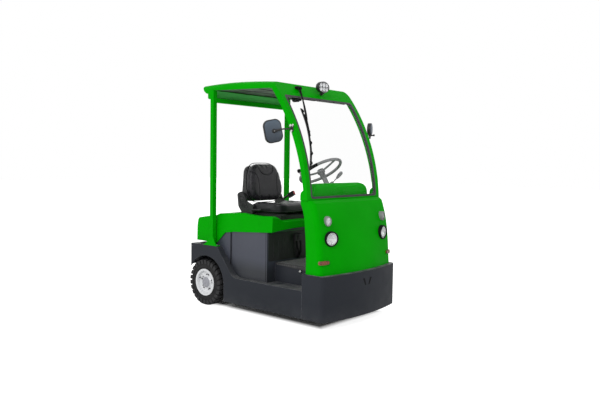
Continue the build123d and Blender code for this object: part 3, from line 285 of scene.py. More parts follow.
def mirror_back(name, colour, rough):
    """Moulded shell, paler where the sky lights it from above."""
    f = Finish(name, rough, colour, Specular_IOR_Level=0.5)
    high = f.span(f.axis("Z"), 1.47, 1.6)
    return f.done(f.mix(high, (0.042, 0.055, 0.075), (0.075, 0.105, 0.14)), f.rough_patches(0.05, 20.0),
            f.bump(f.cells(1400.0), 0.0001))


half_track = 0.438                 # middle of the vehicle to the middle of a rear tyre
rear_axle = (0.561, 0.2075)        # y and z

# Each look: its maker, colour, roughness (the second colour for a tinted lens) and the maker's own values.
looks = {name: maker(name, *values) for name, maker, *values in (
    ("green_paint", paint, (0.0005, 0.372, 0.0003), 0.45, 0.03, 0.22, (0.05, 0.5, 0.05)),
    ("dark_paint", paint, (0.0252, 0.0282, 0.0358), 0.46, 0.12, 0.9, (0.25, 0.26, 0.28), 0.45, 0.2, 0.005),
    ("box_paint", box_side, (0.055, 0.0605, 0.083), 0.42),
    ("wheel_paint", wheel_white, (0.78, 0.79, 0.81), 0.33),
    ("tyre", rubber, (0.007, 0.007, 0.008), 0.7, 0.09),
    ("floor_rubber", rubber, (0.028, 0.028, 0.03), 0.6, 0.4),
    ("seal_rubber", rubber, (0.055, 0.055, 0.058), 0.65, 0.15),
    ("battery_case", moulded, (0.04, 0.04, 0.045), 0.5),
    ("cast_housing", paint, (0.045, 0.046, 0.05), 0.6, 0.3, 0.5, (0.18, 0.17, 0.16), 0.6, 0.5),
    ("machined_steel", metal, (0.46, 0.46, 0.47), 0.34, (1, 1, 8)),
    ("window_glass", clear, (0.4, 0.5, 0.45), 0.02, 0.012),
    ("lamp_glass", clear, (0.93, 0.95, 0.97), 0.02, 0.16, 34.0),
    ("amber_lens", tinted_lens, (0.36, 0.075, 0.006), (0.08, 0.012, 0.002), 90.0),
    ("red_lens", tinted_lens, (0.6, 0.015, 0.015), (0.22, 0.004, 0.004), 60.0),
    ("seat_vinyl", vinyl, (0.0105, 0.0094, 0.0128), 0.36),
    ("black_plastic", moulded, (0.018, 0.018, 0.0195), 0.5),
    ("mirror_shell", mirror_back, (0.05, 0.068, 0.09), 0.34),
    ("lining", lining_board, (0.12, 0.17, 0.12), 0.7),
    # Much lighter than green_paint: a painted lit copy of it, for the inside of the roof's tail.
    ("pale_green", paint, (0.16, 0.85, 0.2), 0.6, 0.1, 0.2, (0.2, 0.6, 0.2)),
    ("hub_grey", paint, (0.34, 0.345, 0.38), 0.38, 0.4, 0.4, (0.6, 0.6, 0.62)),
    ("tread_rubber", rubber, (0.019, 0.019, 0.021), 0.6, 0.14),
    # Much lighter than floor_rubber: a painted highlight on the tops of the mat's coins.
    ("coin_rubber", rubber, (0.2, 0.2, 0.205), 0.6, 0.5),
    ("reflector", metal, (0.9, 0.91, 0.92), 0.12),
    ("zinc", metal, (0.55, 0.55, 0.54), 0.3),
    ("mirror_glass", metal, (0.86, 0.88, 0.9), 0.03, (1, 1, 1), 20.0),
    ("thread", moulded, (0.05, 0.05, 0.054), 0.7, (0.1, 0.1, 0.1)),
    ("grey_plastic", moulded, (0.25, 0.25, 0.26), 0.5, (0.36, 0.36, 0.37)),
    ("deep_black", moulded, (0.004, 0.004, 0.0045), 0.7, (0.02, 0.02, 0.02), 0.15),
    ("red_button", moulded, (0.4, 0.03, 0.035), 0.35, (0.6, 0.2, 0.2)),
    ("strip_grey", moulded, (0.24, 0.25, 0.24), 0.6, (0.3, 0.3, 0.3)),
    ("dial_face", moulded, (0.008, 0.008, 0.009), 0.25),
    ("dial_mark", moulded, (0.7, 0.7, 0.68), 0.5, (0.8, 0.8, 0.8)),
)}

cad_look = {s["node"]: s["material_slot"] for s in frame["record"]["subparts"]}
cad_look.update(roof_rails="lining", steering_wheel="grey_plastic", steering_column="grey_plastic")
for name, node in nodes.items():
    node.data.materials.clear()
    node.data.materials.append(looks[cad_look[name]])


# ---- meshes ----------------------------------------------------------------------
def move(x, y, z):
    return Matrix.Translation((x, y, z))


def spin(axis, degrees):
    return Matrix.Rotation(radians(degrees), 4, axis)


def circle(count):
    """Cosine and sine of evenly spaced angles."""
    return [(cos(2 * pi * i / count), sin(2 * pi * i / count)) for i in range(count)]


def oval_points(half_width, half_height, count=48):
    return [(half_width * c, half_height * s) for c, s in circle(count)]


def rounded_outline(half_width, half_height, corner, steps=8):
    points, x, y = [], half_width - corner, half_height - corner
    for cx, cy, start in ((x, y, 0), (-x, y, 90), (-x, -y, 180), (x, -y, 270)):
        for i in range(steps + 1):
            a = radians(start + 90 * i / steps)
            points.append((cx + corner * cos(a), cy + corner * sin(a)))
    return points


def curve(points, count):
    """A smooth line through control points, as short runs."""
    line, points = [], [Vector(p) for p in points]
    padded = points[:1] + points + points[-1:]
    for a, b, c, d in zip(padded, padded[1:], padded[2:], padded[3:]):
        for t in [i / count for i in range(count)]:
            line.append(0.5 * ((2 * b) + (c - a) * t + (2 * a - 5 * b + 4 * c - d) * t * t + (3 * b - a - 3
                    * c + d) * t ** 3))
    return line + points[-1:]


def mm2(*mm):
    """Rows of two numbers, such as radius and height, from a run of millimetres."""
    return [(a / 1000, b / 1000) for a, b in zip(mm[::2], mm[1::2])]


def mm3(*mm):
    """Points from a run of millimetres."""
    return [(x / 1000, y / 1000, z / 1000) for x, y, z in zip(mm[::3], mm[1::3], mm[2::3])]


def facing_front(x, y, z, outboard=0.0):
    """A place whose local Z points to the front and local Y up; outboard is in degrees, on the right."""
    return move(x, y, z) @ spin("Z", -outboard) @ spin("X", 90)


def on_rear_face(x, y, z):
    """A place whose local Z points to the rear and local Y down."""
    return move(x, y, z) @ spin("X", -90)


def along_x(x, y, z, side=1):
    """A place whose local Z points along +X or -X."""
    return move(x, y, z) @ spin("Y", 90 * side)


class Shape:
    """A mesh put together from simple closed solids."""

    def __init__(self):
        self.verts, self.faces = [], []

    def add(self, verts, faces, place=Matrix.Identity(4)):
        start = len(self.verts)
        self.verts += [place @ Vector(v) for v in verts]
        self.faces += [tuple(start + i for i in f) for f in faces]
        return self

    def skin(self, rows, place=Matrix.Identity(4), closed=False):
        """Faces between loops of points; the last joins the first, or both are capped."""
        count, faces = len(rows[0]), []
        for r in range(len(rows) if closed else len(rows) - 1):
            low, high = r * count, (r + 1) % len(rows) * count
            faces += [(low + i, low + (i + 1) % count, high + (i + 1) % count,
                    high + i) for i in range(count)]
        if not closed:
            faces += [tuple(range(count)), tuple(range((len(rows) - 1) * count, len(rows) * count))]
        return self.add([v for row in rows for v in row], faces, place)

    def mesh(self, name):
        mesh = bpy.data.meshes.new(name)
        mesh.from_pydata(self.verts, [], self.faces)
        work = bmesh.new()
        work.from_mesh(mesh)
        bmesh.ops.recalc_face_normals(work, faces=work.faces)
        work.to_mesh(mesh)
        work.free()
        return mesh

    def turned(self, rows, place, steps=48, squash=(1.0, 1.0)):
        """A solid of revolution about local Z from (radius, height) rows; zero radius closes it."""
        verts, rings = [], []
        for radius, height in rows:
            points = [(radius * squash[0] * c, radius * squash[1] * s) for c, s in circle(steps)]
            points = points if radius > 0 else [(0, 0)]
            rings.append(range(len(verts), len(verts) + len(points)))
            verts += [(x, y, height) for x, y in points]
        faces = []
        for low, high in zip(rings, rings[1:] + (rings[:1] if rows[0][0] > 0 else [])):
            for i in range(steps):
                j = (i + 1) % steps
                face = dict.fromkeys(ring[k % len(ring)] for ring,
                        k in ((low, i), (low, j), (high, j), (high, i)))
                if len(face) > 2:
                    faces.append(tuple(face))
        return self.add(verts, faces, place)

    def bar(self, points, radius, steps=12):
        """A round bar through points; radius may be one number or one for each point."""
        points = [Vector(p) for p in points]
        radii = radius if isinstance(radius, list) else [radius] * len(points)
        rows, side = [], None
        for i, (point, r) in enumerate(zip(points, radii)):
            along = (points[min(i + 1, len(points) - 1)] - points[max(i - 1, 0)]).normalized()
            side = side or along.orthogonal().normalized()
            side = (side - along * side.dot(along)).normalized()
            other = along.cross(side)
            rows.append([point + r * (side * c + other * s) for c, s in circle(steps)])
        return self.skin(rows)

    def ring(self, points, radius, steps):
        """A round bar that closes on itself."""
        rows, centre = [], sum(points, Vector()) / len(points)
        for i, point in enumerate(points):
            along = (points[(i + 1) % len(points)] - points[i - 1]).normalized()
            out = (point - centre).normalized()
            side = (out - along * out.dot(along)).normalized()
            other = along.cross(side)
            rows.append([point + radius * (side * c + other * s) for c, s in circle(steps)])
        return self.skin(rows, closed=True)

    def prism(self, outline, low, high, place=Matrix.Identity(4), bevel=0.0):
        """An outline of (x, y) points carried along local Z, its top edge chamfered by bevel."""
        outline = [Vector(p) for p in outline]
        centre = sum(outline, Vector((0, 0))) / len(outline)
        levels = [(low, 0.0), (high - bevel, 0.0), (high, bevel)] if bevel else [(low, 0.0), (high, 0.0)]
        return self.skin([[(*(p + (centre - p).normalized() * inset), z) for p in outline] for z,
                inset in levels], place)

    def pad(self, outline, *sizes):
        """A prism with rounded corners, outline being (half width, half height, corner, steps)."""
        return self.prism(rounded_outline(*outline), *sizes)

    def bolt(self, at, axis, across=0.016, high=0.008, washer=True):
        """A hexagon head with a chamfer on a round washer."""
        place = move(*at) @ Vector(axis).to_track_quat("Z", "Y").to_matrix().to_4x4()
        if washer:
            self.turned([(0, 0), (across * 0.78, 0), (across * 0.78, 0.0016), (0, 0.0016)], place, 24)
        hexagon = oval_points(across / 1.732, across / 1.732, 6)
        return self.prism(hexagon, 0.001, high, place, across * 0.08)


def add_piece(name, shape, look, body="chassis", smooth=30.0, replaces=()):
    mesh = shape.mesh(name) if isinstance(shape, Shape) else shape
    piece = link(name, mesh)
    mesh.materials.append(looks[look])
    for face in mesh.polygons:
        face.use_smooth = True
    if smooth < 180:
        mesh.set_sharp_from_angle(angle=radians(smooth))
    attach(piece, body)
    if replaces:
        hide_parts(*replaces)
    return piece


def bake_modifiers(piece):
    """Applies a piece's modifiers to its mesh."""
    graph = bpy.context.evaluated_depsgraph_get()
    mesh = bpy.data.meshes.new_from_object(piece.evaluated_get(graph))
    piece.modifiers.clear()
    old = piece.data
    piece.data = mesh
    bpy.data.meshes.remove(old)


def bevel_edges(piece, width, segments, angle):
    made = piece.modifiers.new("edges", "BEVEL")
    made.width, made.segments, made.limit_method = width, segments, "ANGLE"
    made.angle_limit = radians(angle)
    made.harden_normals = False
    bake_modifiers(piece)


# ---- wheels ----------------------------------------------------------------------
def carcass_point(section, t):
    """A point on a tyre's section, t from 0 at the lower side wall to 1 at the middle of the tread."""
    lengths = [(b - a).length for a, b in zip(section, section[1:])]
    want = t * sum(lengths)
    for a, b, length in zip(section, section[1:], lengths):
        if want <= length:
            return a.lerp(b, want / length)
        want -= length
    return section[-1].copy()


def add_tyre(name, body, x, y, radius, half, seat, flange, lugs, node):
    """Solid tyre: bead, ribbed side walls and two rows of chunky lugs that wrap over the shoulders."""
    lug_height, rib = 0.0125, 0.0012               # rib: round the side wall
    base = radius - lug_height
    side = half - 0.0035
    wall = [(half - 0.0075, seat + 0.0003), (half - 0.0065, seat + flange + 0.001),
            (side - 0.002, seat + flange + 0.006), (side, seat + flange + 0.014),
            (side + rib, seat + flange + 0.016), (side + rib, seat + flange + 0.019),
            (side, seat + flange + 0.021), (side + 0.0005, radius - 0.058), (side - 0.001, radius - 0.04),
            (side - 0.006, base - 0.012), (side - 0.016, base - 0.002), (0.0, base)]
    rows = [(r, h) for h, r in wall] + [(r, -h) for h, r in reversed(wall[:-1])]
    shape, blocks = Shape().turned(rows, along_x(x, y, radius), 96), Shape()
    section = [(side + 0.0006, radius - 0.044), (side + 0.0006, radius - 0.03),
            (side - 0.008, radius - 0.009), (side - 0.022, base), (0.004, base)]
    section = [Vector(p) for p in section]
    for hand in (1, -1):
        for i in range(lugs):
            middle = 2 * pi * (i + (0.5 if hand < 0 else 0)) / lugs
            rows, steps = [], 7
            for k in range(steps + 1):
                t = k / steps
                parts = [min(1.0, max(0.0, t + d)) for d in (0.0, -0.02, 0.02)]
                point, nearer, further = (carcass_point(section, part) for part in parts)
                along = (further - nearer).normalized()
                out = Vector((-along.y, along.x))
                if out.dot(point - Vector((0, seat))) < 0:
                    out = -out
                proud = lug_height * min(1.0, 0.3 + 2.2 * t)
                top = point + out * proud
                top.x, top.y = min(top.x, half - 0.0002), min(top.y, radius)
                low = point - out * 0.003
                angle = middle + 0.1 * (t - 0.45) * hand
                wide = 2 * pi / lugs * (0.395 + 0.015 * t)
                corners = ((low.y, -wide, low.x), (low.y, wide, low.x), (top.y, wide * 0.9, top.x),
                        (top.y, -wide * 0.9, top.x))
                rows.append([(hand * h, r * cos(angle + a), r * sin(angle + a)) for r, a, h in corners])
            blocks.skin(rows, move(x, y, radius))
    add_piece(name, shape, "tyre", body, smooth=40, replaces=[node])
    piece = add_piece(name + "_tread", blocks, "tread_rubber", body, smooth=40)
    bevel_edges(piece, 0.0016, 1, 50)


def add_rear_wheel(side, body, suffix):
    """Stud nuts, grey hub cover and valve."""
    x, (y, z) = side * half_track, rear_axle
    face, stud_r, valve_r = x + side * 0.027, 0.068, 0.088
    nuts, cover = Shape(), Shape()
    for i in range(5):
        a = radians(72 * i + 90)
        at = Vector((face - side * 0.006, y + stud_r * cos(a), z + stud_r * sin(a)))
        nuts.bolt(at, (side, 0, 0), 0.0148, 0.009, False)
        nuts.turned(mm2(0, 6, 4.2, 6, 4.2, 13, 3.4, 14, 0, 14), along_x(*at, side), 16)
    cover.turned(mm2(47.5, 18, 46, 40, 42, 45.5, 36, 47.8, 30, 48.5, 28, 46.5, 13, 46.5, 11, 50, 0, 50.5, 0,
            0), along_x(x, y, z, side), 48)
    a = radians(20)
    root = Vector((x + side * 0.03, y + valve_r * cos(a), z + valve_r * sin(a)))
    nuts.bar([root, root + Vector((side * 0.014, -0.002, 0)), root + Vector((side * 0.02, -0.003, 0))],
            [0.004, 0.004, 0.003], 12)
    add_piece("wheel_nuts_" + suffix, nuts, "cast_housing", body)
    add_piece("hub_cover_" + suffix, cover, "hub_grey", body)


def add_wheels():
    for side, suffix in ((-1, "right"), (1, "left")):
        body = "rear_wheel_" + suffix
        add_tyre("tyre_" + suffix, body, side * half_track, *rear_axle, half=0.056, seat=0.106,
                flange=0.014, lugs=26, node="rear_tyre_" + suffix)
        add_rear_wheel(side, body, suffix)
    add_tyre("tyre_front", "front_wheel", 0.0, -0.505, 0.15, half=0.046, seat=0.076, flange=0.012, lugs=22,
            node="front_tyre")


# ---- seat ------------------------------------------------------------------------
def soft_block(half, power, cuts, form):
    """A closed rounded block; form moves each point of it, given in parts of the half sizes."""
    work = bmesh.new()
    bmesh.ops.create_cube(work, size=2.0)
    bmesh.ops.subdivide_edges(work, edges=work.edges[:], cuts=cuts, use_grid_fill=True)
    for v in work.verts:
        norm = sum(abs(c) ** power for c in v.co) ** (1 / power)
        v.co = Vector(form(*(v.co / norm)))
        v.co = Vector(c * h for c, h in zip(v.co, half))
    mesh = bpy.data.meshes.new("soft")
    work.to_mesh(mesh)
    work.free()
    return mesh


def swell(piece, cap, stops=None):
    """Fills the pad: voxel remesh, cloth under pressure, then each point's move is capped."""
    remesh = piece.modifiers.new("remesh", "REMESH")
    remesh.mode, remesh.voxel_size = "VOXEL", 0.006
    bake_modifiers(piece)
    start = [v.co.copy() for v in piece.data.vertices]
    cloth = piece.modifiers.new("cloth", "CLOTH")
    cloth.settings.use_pressure = True
    cloth.settings.uniform_pressure_force = 4.0
    cloth.settings.effector_weights.gravity = 0.0
    scene = bpy.context.scene
    for shown in range(1, 21):
        scene.frame_set(shown)
    bake_modifiers(piece)
    scene.frame_set(1)
    for v, was in zip(piece.data.vertices, start):
        shift = v.co - was
        if shift.length > cap:
            v.co = was + shift * (cap / shift.length)
    smooth = piece.modifiers.new("smooth", "SUBSURF")
    smooth.levels = smooth.render_levels = 1
    bake_modifiers(piece)
    if stops:
        for v in piece.data.vertices:
            v.co = Vector(min(max(c, low), high) for c, low, high in zip(v.co, *stops))


def tree_of(mesh):
    return BVHTree.FromPolygons([v.co for v in mesh.vertices], [tuple(p.vertices) for p in mesh.polygons])


def press_seams(mesh, seams, depth=0.0055, width=0.0045):
    """Draws the surface in along the seams, lines of points in the pad's own face plane."""
    runs = []
    for points in seams:
        for a, b in zip(points, points[1:]):
            runs.append((a, b - a))
    for v in mesh.vertices:
        if v.normal.z < 0.15:
            continue
        across = Vector((v.co.x, v.co.y))
        parts = [max(0.0, min(1.0, (across - a).dot(d) / d.length_squared)) for a, d in runs]
        nearest = min((across - a - d * part).length for (a, d), part in zip(runs, parts))
        if nearest < 3 * width:
            v.co -= v.normal * (depth * exp(-(nearest / width) ** 2))


def stitched(name, mesh, seams, place):
    """Stitches laid on the pad beside each seam."""
    stitch, beside = 0.006, 0.0065
    shape, tree = Shape(), tree_of(mesh)
    for points in seams:
        line = []
        for a, b in zip(points, points[1:]):
            steps = max(1, int((b - a).length / stitch))
            line += [a.lerp(b, i / steps) for i in range(steps)]
        line.append(points[-1])
        run = []
        for i, p in enumerate(line):
            towards = (line[min(i + 1, len(line) - 1)] - line[max(i - 1, 0)]).normalized()
            q = p + Vector((-towards.y, towards.x)) * beside
            hit = tree.ray_cast(Vector((q.x, q.y, 0.3)), Vector((0, 0, -1)))
            if hit[0]:
                run.append(hit[0] + hit[1] * 0.0003)
        for i in range(0, len(run) - 1, 2):
            if (run[i + 1] - run[i]).length < 2 * stitch:
                shape.bar([run[i], run[i + 1]], 0.00091, 6)
    shape.verts = [place @ v for v in shape.verts]
    add_piece(name, shape, "thread", "hood")


def add_welt(name, place, half_x, half_y, z, radius, narrow=lambda v: 1.0):
    """Piping round a pad, on the same rounded outline."""
    outline = []
    for c, s in circle(96):
        u, v = (copysign(abs(p) ** 0.42, p) for p in (c, s))
        outline.append(place @ Vector((u * narrow(v) * half_x, v * half_y, z)))
    shape = Shape().ring(outline, radius, 8)
    add_piece(name, shape, "seat_vinyl", "hood")


def dress_pad(piece, name, seams, place):
    """Presses and stitches the seams, then moves the pad to its place."""
    press_seams(piece.data, seams)
    stitched(name + "_stitching", piece.data, seams, place)
    piece.data.transform(place)


def flip(points):
    return [Vector((-x, y)) for x, y in points]


def backrest_width(v):
    """Half width of the backrest from its foot, -1, to its top, 1, as a part of the widest."""
    return 1.0 - 0.26 * max(0.0, v + 0.25) ** 1.7 / 1.25 ** 1.7 - 0.16 * max(0.0, -v - 0.3) ** 1.4


def add_backrest():
    """Backrest: crowned bolsters, a U-shaped head panel and curved side seams."""
    half = Vector((0.216, 0.176, 0.041))

    def form(u, v, w):
        narrow = backrest_width(v)
        bolster = 0.5 * max(0.0, abs(u) - 0.45) ** 1.3 * (1.0 - 0.55 * max(0.0, v))
        thick = 0.8 + 0.16 * cos(1.4 * v) + bolster
        if w < 0:
            thick = 0.9
        return u * narrow, v, w * thick

    mesh = soft_block(half, 5.0, 22, form)
    piece = add_piece("backrest_pad", mesh, "seat_vinyl", "hood", smooth=180, replaces=["seat_backrest"])
    swell(piece, 0.009)
    u_seam = curve(mm2(-105, 190, -94, 125, -62, 78, 0, 60, 62, 78, 94, 125, 105, 190), 6)
    bolster = curve(mm2(-190, 100, -155, 85, -125, 35, -115, -50, -122, -175), 6)
    seams = [u_seam, bolster, flip(bolster)]
    place = move(0, 0.235, 0.925) @ spin("X", -10) @ move(0, 0.044, 0.19) @ spin("X", 90)
    add_welt("backrest_welt", place, 0.2225, 0.1805, -0.014, 0.0032, backrest_width)
    dress_pad(piece, "backrest", seams, place)


def add_cushion():
    """Seat cushion: raised side bolsters, a front roll and sewn cross seams."""
    half = Vector((0.228, 0.209, 0.04))

    def form(u, v, w):
        bolster = 0.95 * max(0.0, abs(u) - 0.42) ** 1.2
        roll = 0.55 * max(0.0, -v - 0.5) * (1.0 - max(0.0, -v - 0.86) * 3.0)
        dish = -0.16 * max(0.0, 1 - (u / 0.55) ** 2) * max(0.0, 1 - ((v - 0.2) / 0.7) ** 2)
        lift = bolster * (0.55 + 0.45 * max(0.0, 1 - max(0.0, v) ** 2)) + roll + dish
        thin = 1.0 - 0.55 * max(0.0, v - 0.1) ** 1.3
        return u, v, (w * 0.92 + lift) * thin if w > 0 else w * 0.95

    mesh = soft_block(half, 5.0, 22, form)
    piece = add_piece("seat_pad", mesh, "seat_vinyl", "hood", smooth=180, replaces=["seat_cushion"])
    place = move(0, 0.11, 0.8854)
    swell(piece, 0.008, (Vector((-0.2425, -0.222, -0.0418)), Vector((0.2425, 0.22, 0.062))))
    bolster = curve(mm2(-118, 200, -112, 100, -120, -20, -150, -100, -222, -140), 6)
    front = curve(mm2(-150, -100, -70, -118, 0, -122, 70, -118, 150, -100), 6)
    seams = [bolster, flip(bolster), front]
    add_welt("cushion_welt", place, 0.2345, 0.2155, -0.02, 0.003)
    dress_pad(piece, "cushion", seams, place)


def add_seat_trim():
    """Flutes on the recliner covers, adjuster levers, the buckle's button and the gaiter under the seat."""
    ribs, bits = Shape(), Shape()
    for side in (-1, 1):
        x = side * 0.2518
        for i in range(5):
            t = i / 4
            low = Vector((x, 0.262 + 0.02 * t + 0.018 * i, 0.868 + 0.006 * i))
            high = Vector((x, 0.318 + 0.018 * t + 0.012 * i, 0.955 + 0.012 * i))
            ribs.bar([low, low.lerp(high, 0.5) + Vector((side * 0.0015, 0, 0)), high],
                    [0.004, 0.0052, 0.004], 8)
        bits.bar([(side * 0.2505, 0.21, 0.868), (side * 0.262, 0.205, 0.868), (side * 0.264, 0.13, 0.872),
                (side * 0.262, 0.09, 0.874)], [0.006, 0.007, 0.0085, 0.007], 12)
        bits.turned(mm2(0, 0, 20, 0, 20, 6, 16, 9, 0, 9), along_x(side * 0.2505, 0.335, 0.955, side), 32)
        bits.bolt((side * 0.259, 0.335, 0.955), (side, 0, 0), 0.012, 0.005)
    button = Shape().pad((0.0105, 0.017, 0.004, 4), 0.0, 0.0045,
            move(0.264, 0.203, 0.99) @ spin("X", -28) @ move(0, -0.034, 0) @ spin("X", 90), 0.001)
    add_piece("recliner_flutes", ribs, "black_plastic", "hood")
    add_piece("seat_levers", bits, "black_plastic", "hood")
    add_piece("buckle_button", button, "red_button", "hood")
    gaiter = Shape()
    for i in range(5):
        z, inset = 0.7945 + 0.0078 * i, 0.004 if i % 2 else 0.0
        gaiter.pad((0.1895 - inset, 0.1495 - inset, 0.03, 6), z, z + 0.0076, move(0, 0.1, 0))
    add_piece("seat_gaiter", gaiter, "seal_rubber", "hood")


# ---- lamps -----------------------------------------------------------------------
def add_lamp(name, side, at, half_width, half_height, outboard, replaced, bulbs, ring_look):
    """Oval lamp: bezel, faceted bright bowl, bulbs and a clear domed lens."""
    x, y, z = at
    place = facing_front(side * x, y - 0.004, z, -side * outboard)
    squash = (half_width, half_height)
    bezel = Shape().turned([(0.9, -0.036), (0.905, 0.004), (0.94, 0.012), (1.0, 0.0135), (1.07, 0.009),
            (1.1, 0.001), (1.1, -0.022), (0.97, -0.036)], place, 64, squash)
    bowl = Shape()
    rings, mouth = 7, 0.905
    rows = [[(x, y, -0.036) for x, y in oval_points(mouth * half_width, mouth * half_height)]]
    for k in range(rings + 1):
        r = mouth * (1 - k / rings * 0.86)
        deep = -0.03 * (1 - (r / mouth) ** 2)
        facets = [0.0016 * (1 if (i // 3 + k) % 2 else -1) if 0 < k < rings else 0 for i in range(48)]
        oval = oval_points(r * half_width, r * half_height)
        rows.append([(x, y, deep + facet + 0.001) for (x, y), facet in zip(oval, facets)])
    bowl.skin(rows, place)
    bulb = Shape()
    for dx, dz, r in bulbs:
        bulb.turned([(r, -0.029), (r, -0.016), (r * 0.8, -0.009), (r * 0.4, -0.0065), (0, -0.006),
                (0, -0.029)], place @ move(dx * half_width, dz * half_height, 0), 24)
    lens, quarter = Shape(), [pi / 2 * i / 8 for i in range(8)]
    rows = [(0.925, -0.001)] + [(0.925 * cos(a), 0.0035 + 0.008 * sin(a)) for a in quarter]
    rows += [(0, 0.0115), (0, 0.0095)]
    rows += [(mouth * cos(a), 0.0015 + 0.008 * sin(a)) for a in quarter[::-1]] + [(mouth, -0.001)]
    lens.turned(rows, place, 64, squash)
    suffix = "left" if side > 0 else "right"
    add_piece(f"{name}_bezel_{suffix}", bezel, ring_look, replaces=replaced)
    add_piece(f"{name}_bowl_{suffix}", bowl, "reflector", smooth=20)
    add_piece(f"{name}_bulb_{suffix}", bulb, "lamp_glass")
    add_piece(f"{name}_lens_{suffix}", lens, "lamp_glass", smooth=60)


def add_lamps():
    for side in (-1, 1):
        first = side < 0                           # the first of a pair stands for the CAD node of both
        add_lamp("headlight", side, (0.36, -0.757, 0.706), 0.0635, 0.055, 9.0,
                ["headlights"] if first else [], [(-0.3, 0.12, 0.01), (0.32, 0.12, 0.01),
                (0.0, -0.35, 0.007)], "deep_black")
        add_lamp("upper_lamp", side, (0.381, -0.735, 0.843), 0.027, 0.036, 16.0,
                ["upper_lamps"] if first else [], [(0.0, 0.0, 0.009)], "grey_plastic")
    add_work_lamp()
    add_rear_lamps()


def add_work_lamp():
    """Oval work lamp on the header: finned housing, bezel, six small reflectors and a clear lens."""
    x = 0.028
    place = facing_front(x, -0.355, 1.932)
    squash = (0.074, 0.048)
    body = Shape().turned([(0.9, 0.0), (0.985, 0.0), (1.0, -0.004), (1.0, -0.028), (0.97, -0.031),
            (0.88, -0.039), (0.6, -0.0455), (0, -0.0458), (0, -0.01), (0.9, -0.01)], place, 64, squash)
    for i in range(-3, 4):
        tall = squash[1] * 0.72 * sqrt(max(0.05, 1 - (i / 4.4) ** 2))
        fin = rounded_outline(0.0016, tall, 0.0015, 3)
        body.prism(fin, -0.0455, -0.036, place @ move(0.0165 * i, 0, 0))
    bowls, lens = Shape(), Shape()
    for i in (-1, 0, 1):
        for j in (-1, 1):
            at = place @ move(0.0385 * i, 0.0175 * j, 0)
            r = 0.0165 if i == 0 else 0.0155
            bowls.turned([(r, -0.0085), (r, -0.0012), (r * 0.88, -0.0012), (r * 0.6, -0.006),
                    (r * 0.25, -0.008), (r * 0.2, -0.0055), (0, -0.005), (0, -0.0085)], at, 24)
    rows = [(0.94, -0.009), (0.94, -0.0004), (0.9, 0.0), (0, 0.0), (0, -0.0008), (0.9, -0.0008),
            (0.925, -0.0012), (0.925, -0.009)]
    lens.turned(rows, place, 64, squash)
    bracket = Shape()
    for side in (-1, 1):
        root = Vector((x + 0.018 + side * 0.012, -0.322, 1.886))
        bracket.bar([root, root + Vector((0, -0.004, 0.02)),
                Vector((x + 0.014 + side * 0.008, -0.33, 1.916))], 0.0052, 10)
    bracket.turned([(0, -0.017), (0.0145, -0.017), (0.0145, 0.004), (0.011, 0.008), (0, 0.008)],
            move(0.05, -0.317, 1.885) @ spin("X", 62), 32)
    bracket.bolt((0.046, -0.3385, 1.889), (0, -1, 0.25), 0.013, 0.006)
    add_piece("work_lamp_housing", body, "black_plastic", replaces=["work_lamp"])
    add_piece("work_lamp_bowls", bowls, "reflector")
    add_piece("work_lamp_lens", lens, "lamp_glass")
    add_piece("work_lamp_bracket", bracket, "black_plastic")


def add_rear_lamps():
    """Black frames and dividers round the rear lamps."""
    shape = Shape()
    for side in (-1, 1):
        place = on_rear_face(side * 0.422, 0.7405, 0.48)
        outer, inner = rounded_outline(0.0335, 0.0435, 0.012), rounded_outline(0.0302, 0.0402, 0.01)
        levels = ((0.0, outer), (0.0275, outer), (0.0275, inner), (0.0, inner))
        shape.skin([[(x, y, z) for x, y in line] for z, line in levels], place, closed=True)
        shape.prism(mm2(-30, -1.2, 30, -1.2, 30, 1.2, -30, 1.2), 0.02, 0.0268, place @ move(0, 0.012, 0))
    add_piece("rear_lamp_frames", shape, "black_plastic")


# ---- mirrors, wiper and cab ------------------------------------------------------
def glass_y(z):
    """y of the windscreen's outer curve at height z."""
    return 0.944 - sqrt(1.571 ** 2 - (z - 0.911) ** 2)


def pillar_y(z):
    """y of the middle of the windscreen pillar at height z."""
    return (glass_y(z) + 1.054 - sqrt(1.65 ** 2 - (z - 0.853) ** 2)) / 2


def domed(shape, outline, rows, place):
    """A closed form from one outline scaled by each (scale, height) row."""
    return shape.skin([[(x * k, y * k, z) for x, y in outline] for k, z in rows], place)


def mirror_head(name, place, outline, depth, node):
    """Domed shell, black rim with a lip, and the glass that faces the driver."""
    rim, shell, glass = Shape(), Shape(), Shape()
    domed(shell, outline, [(0.9, 0.004 - depth), (0.955, 0.01 - depth), (0.965, -0.01), (0.945, -0.0045),
            (0.86, -0.0008), (0.6, 0.0018), (0.3, 0.0028)], place)
    domed(rim, outline, [(0.93, -depth), (0.985, -depth), (1.035, 0.003 - depth), (1.04, -0.012),
            (1.02, -0.004), (0.985, -0.003), (0.962, -0.0075), (0.94, 0.0015 - depth)], place)
    domed(glass, outline, [(0.925, 0.0022 - depth), (0.925, 0.0012 - depth), (0.9, 0.0006 - depth)], place)
    add_piece(name + "_shell", shell, "mirror_shell", smooth=40, replaces=[node])
    add_piece(name + "_rim", rim, "black_plastic", smooth=40)
    add_piece(name + "_glass", glass, "mirror_glass", smooth=20)


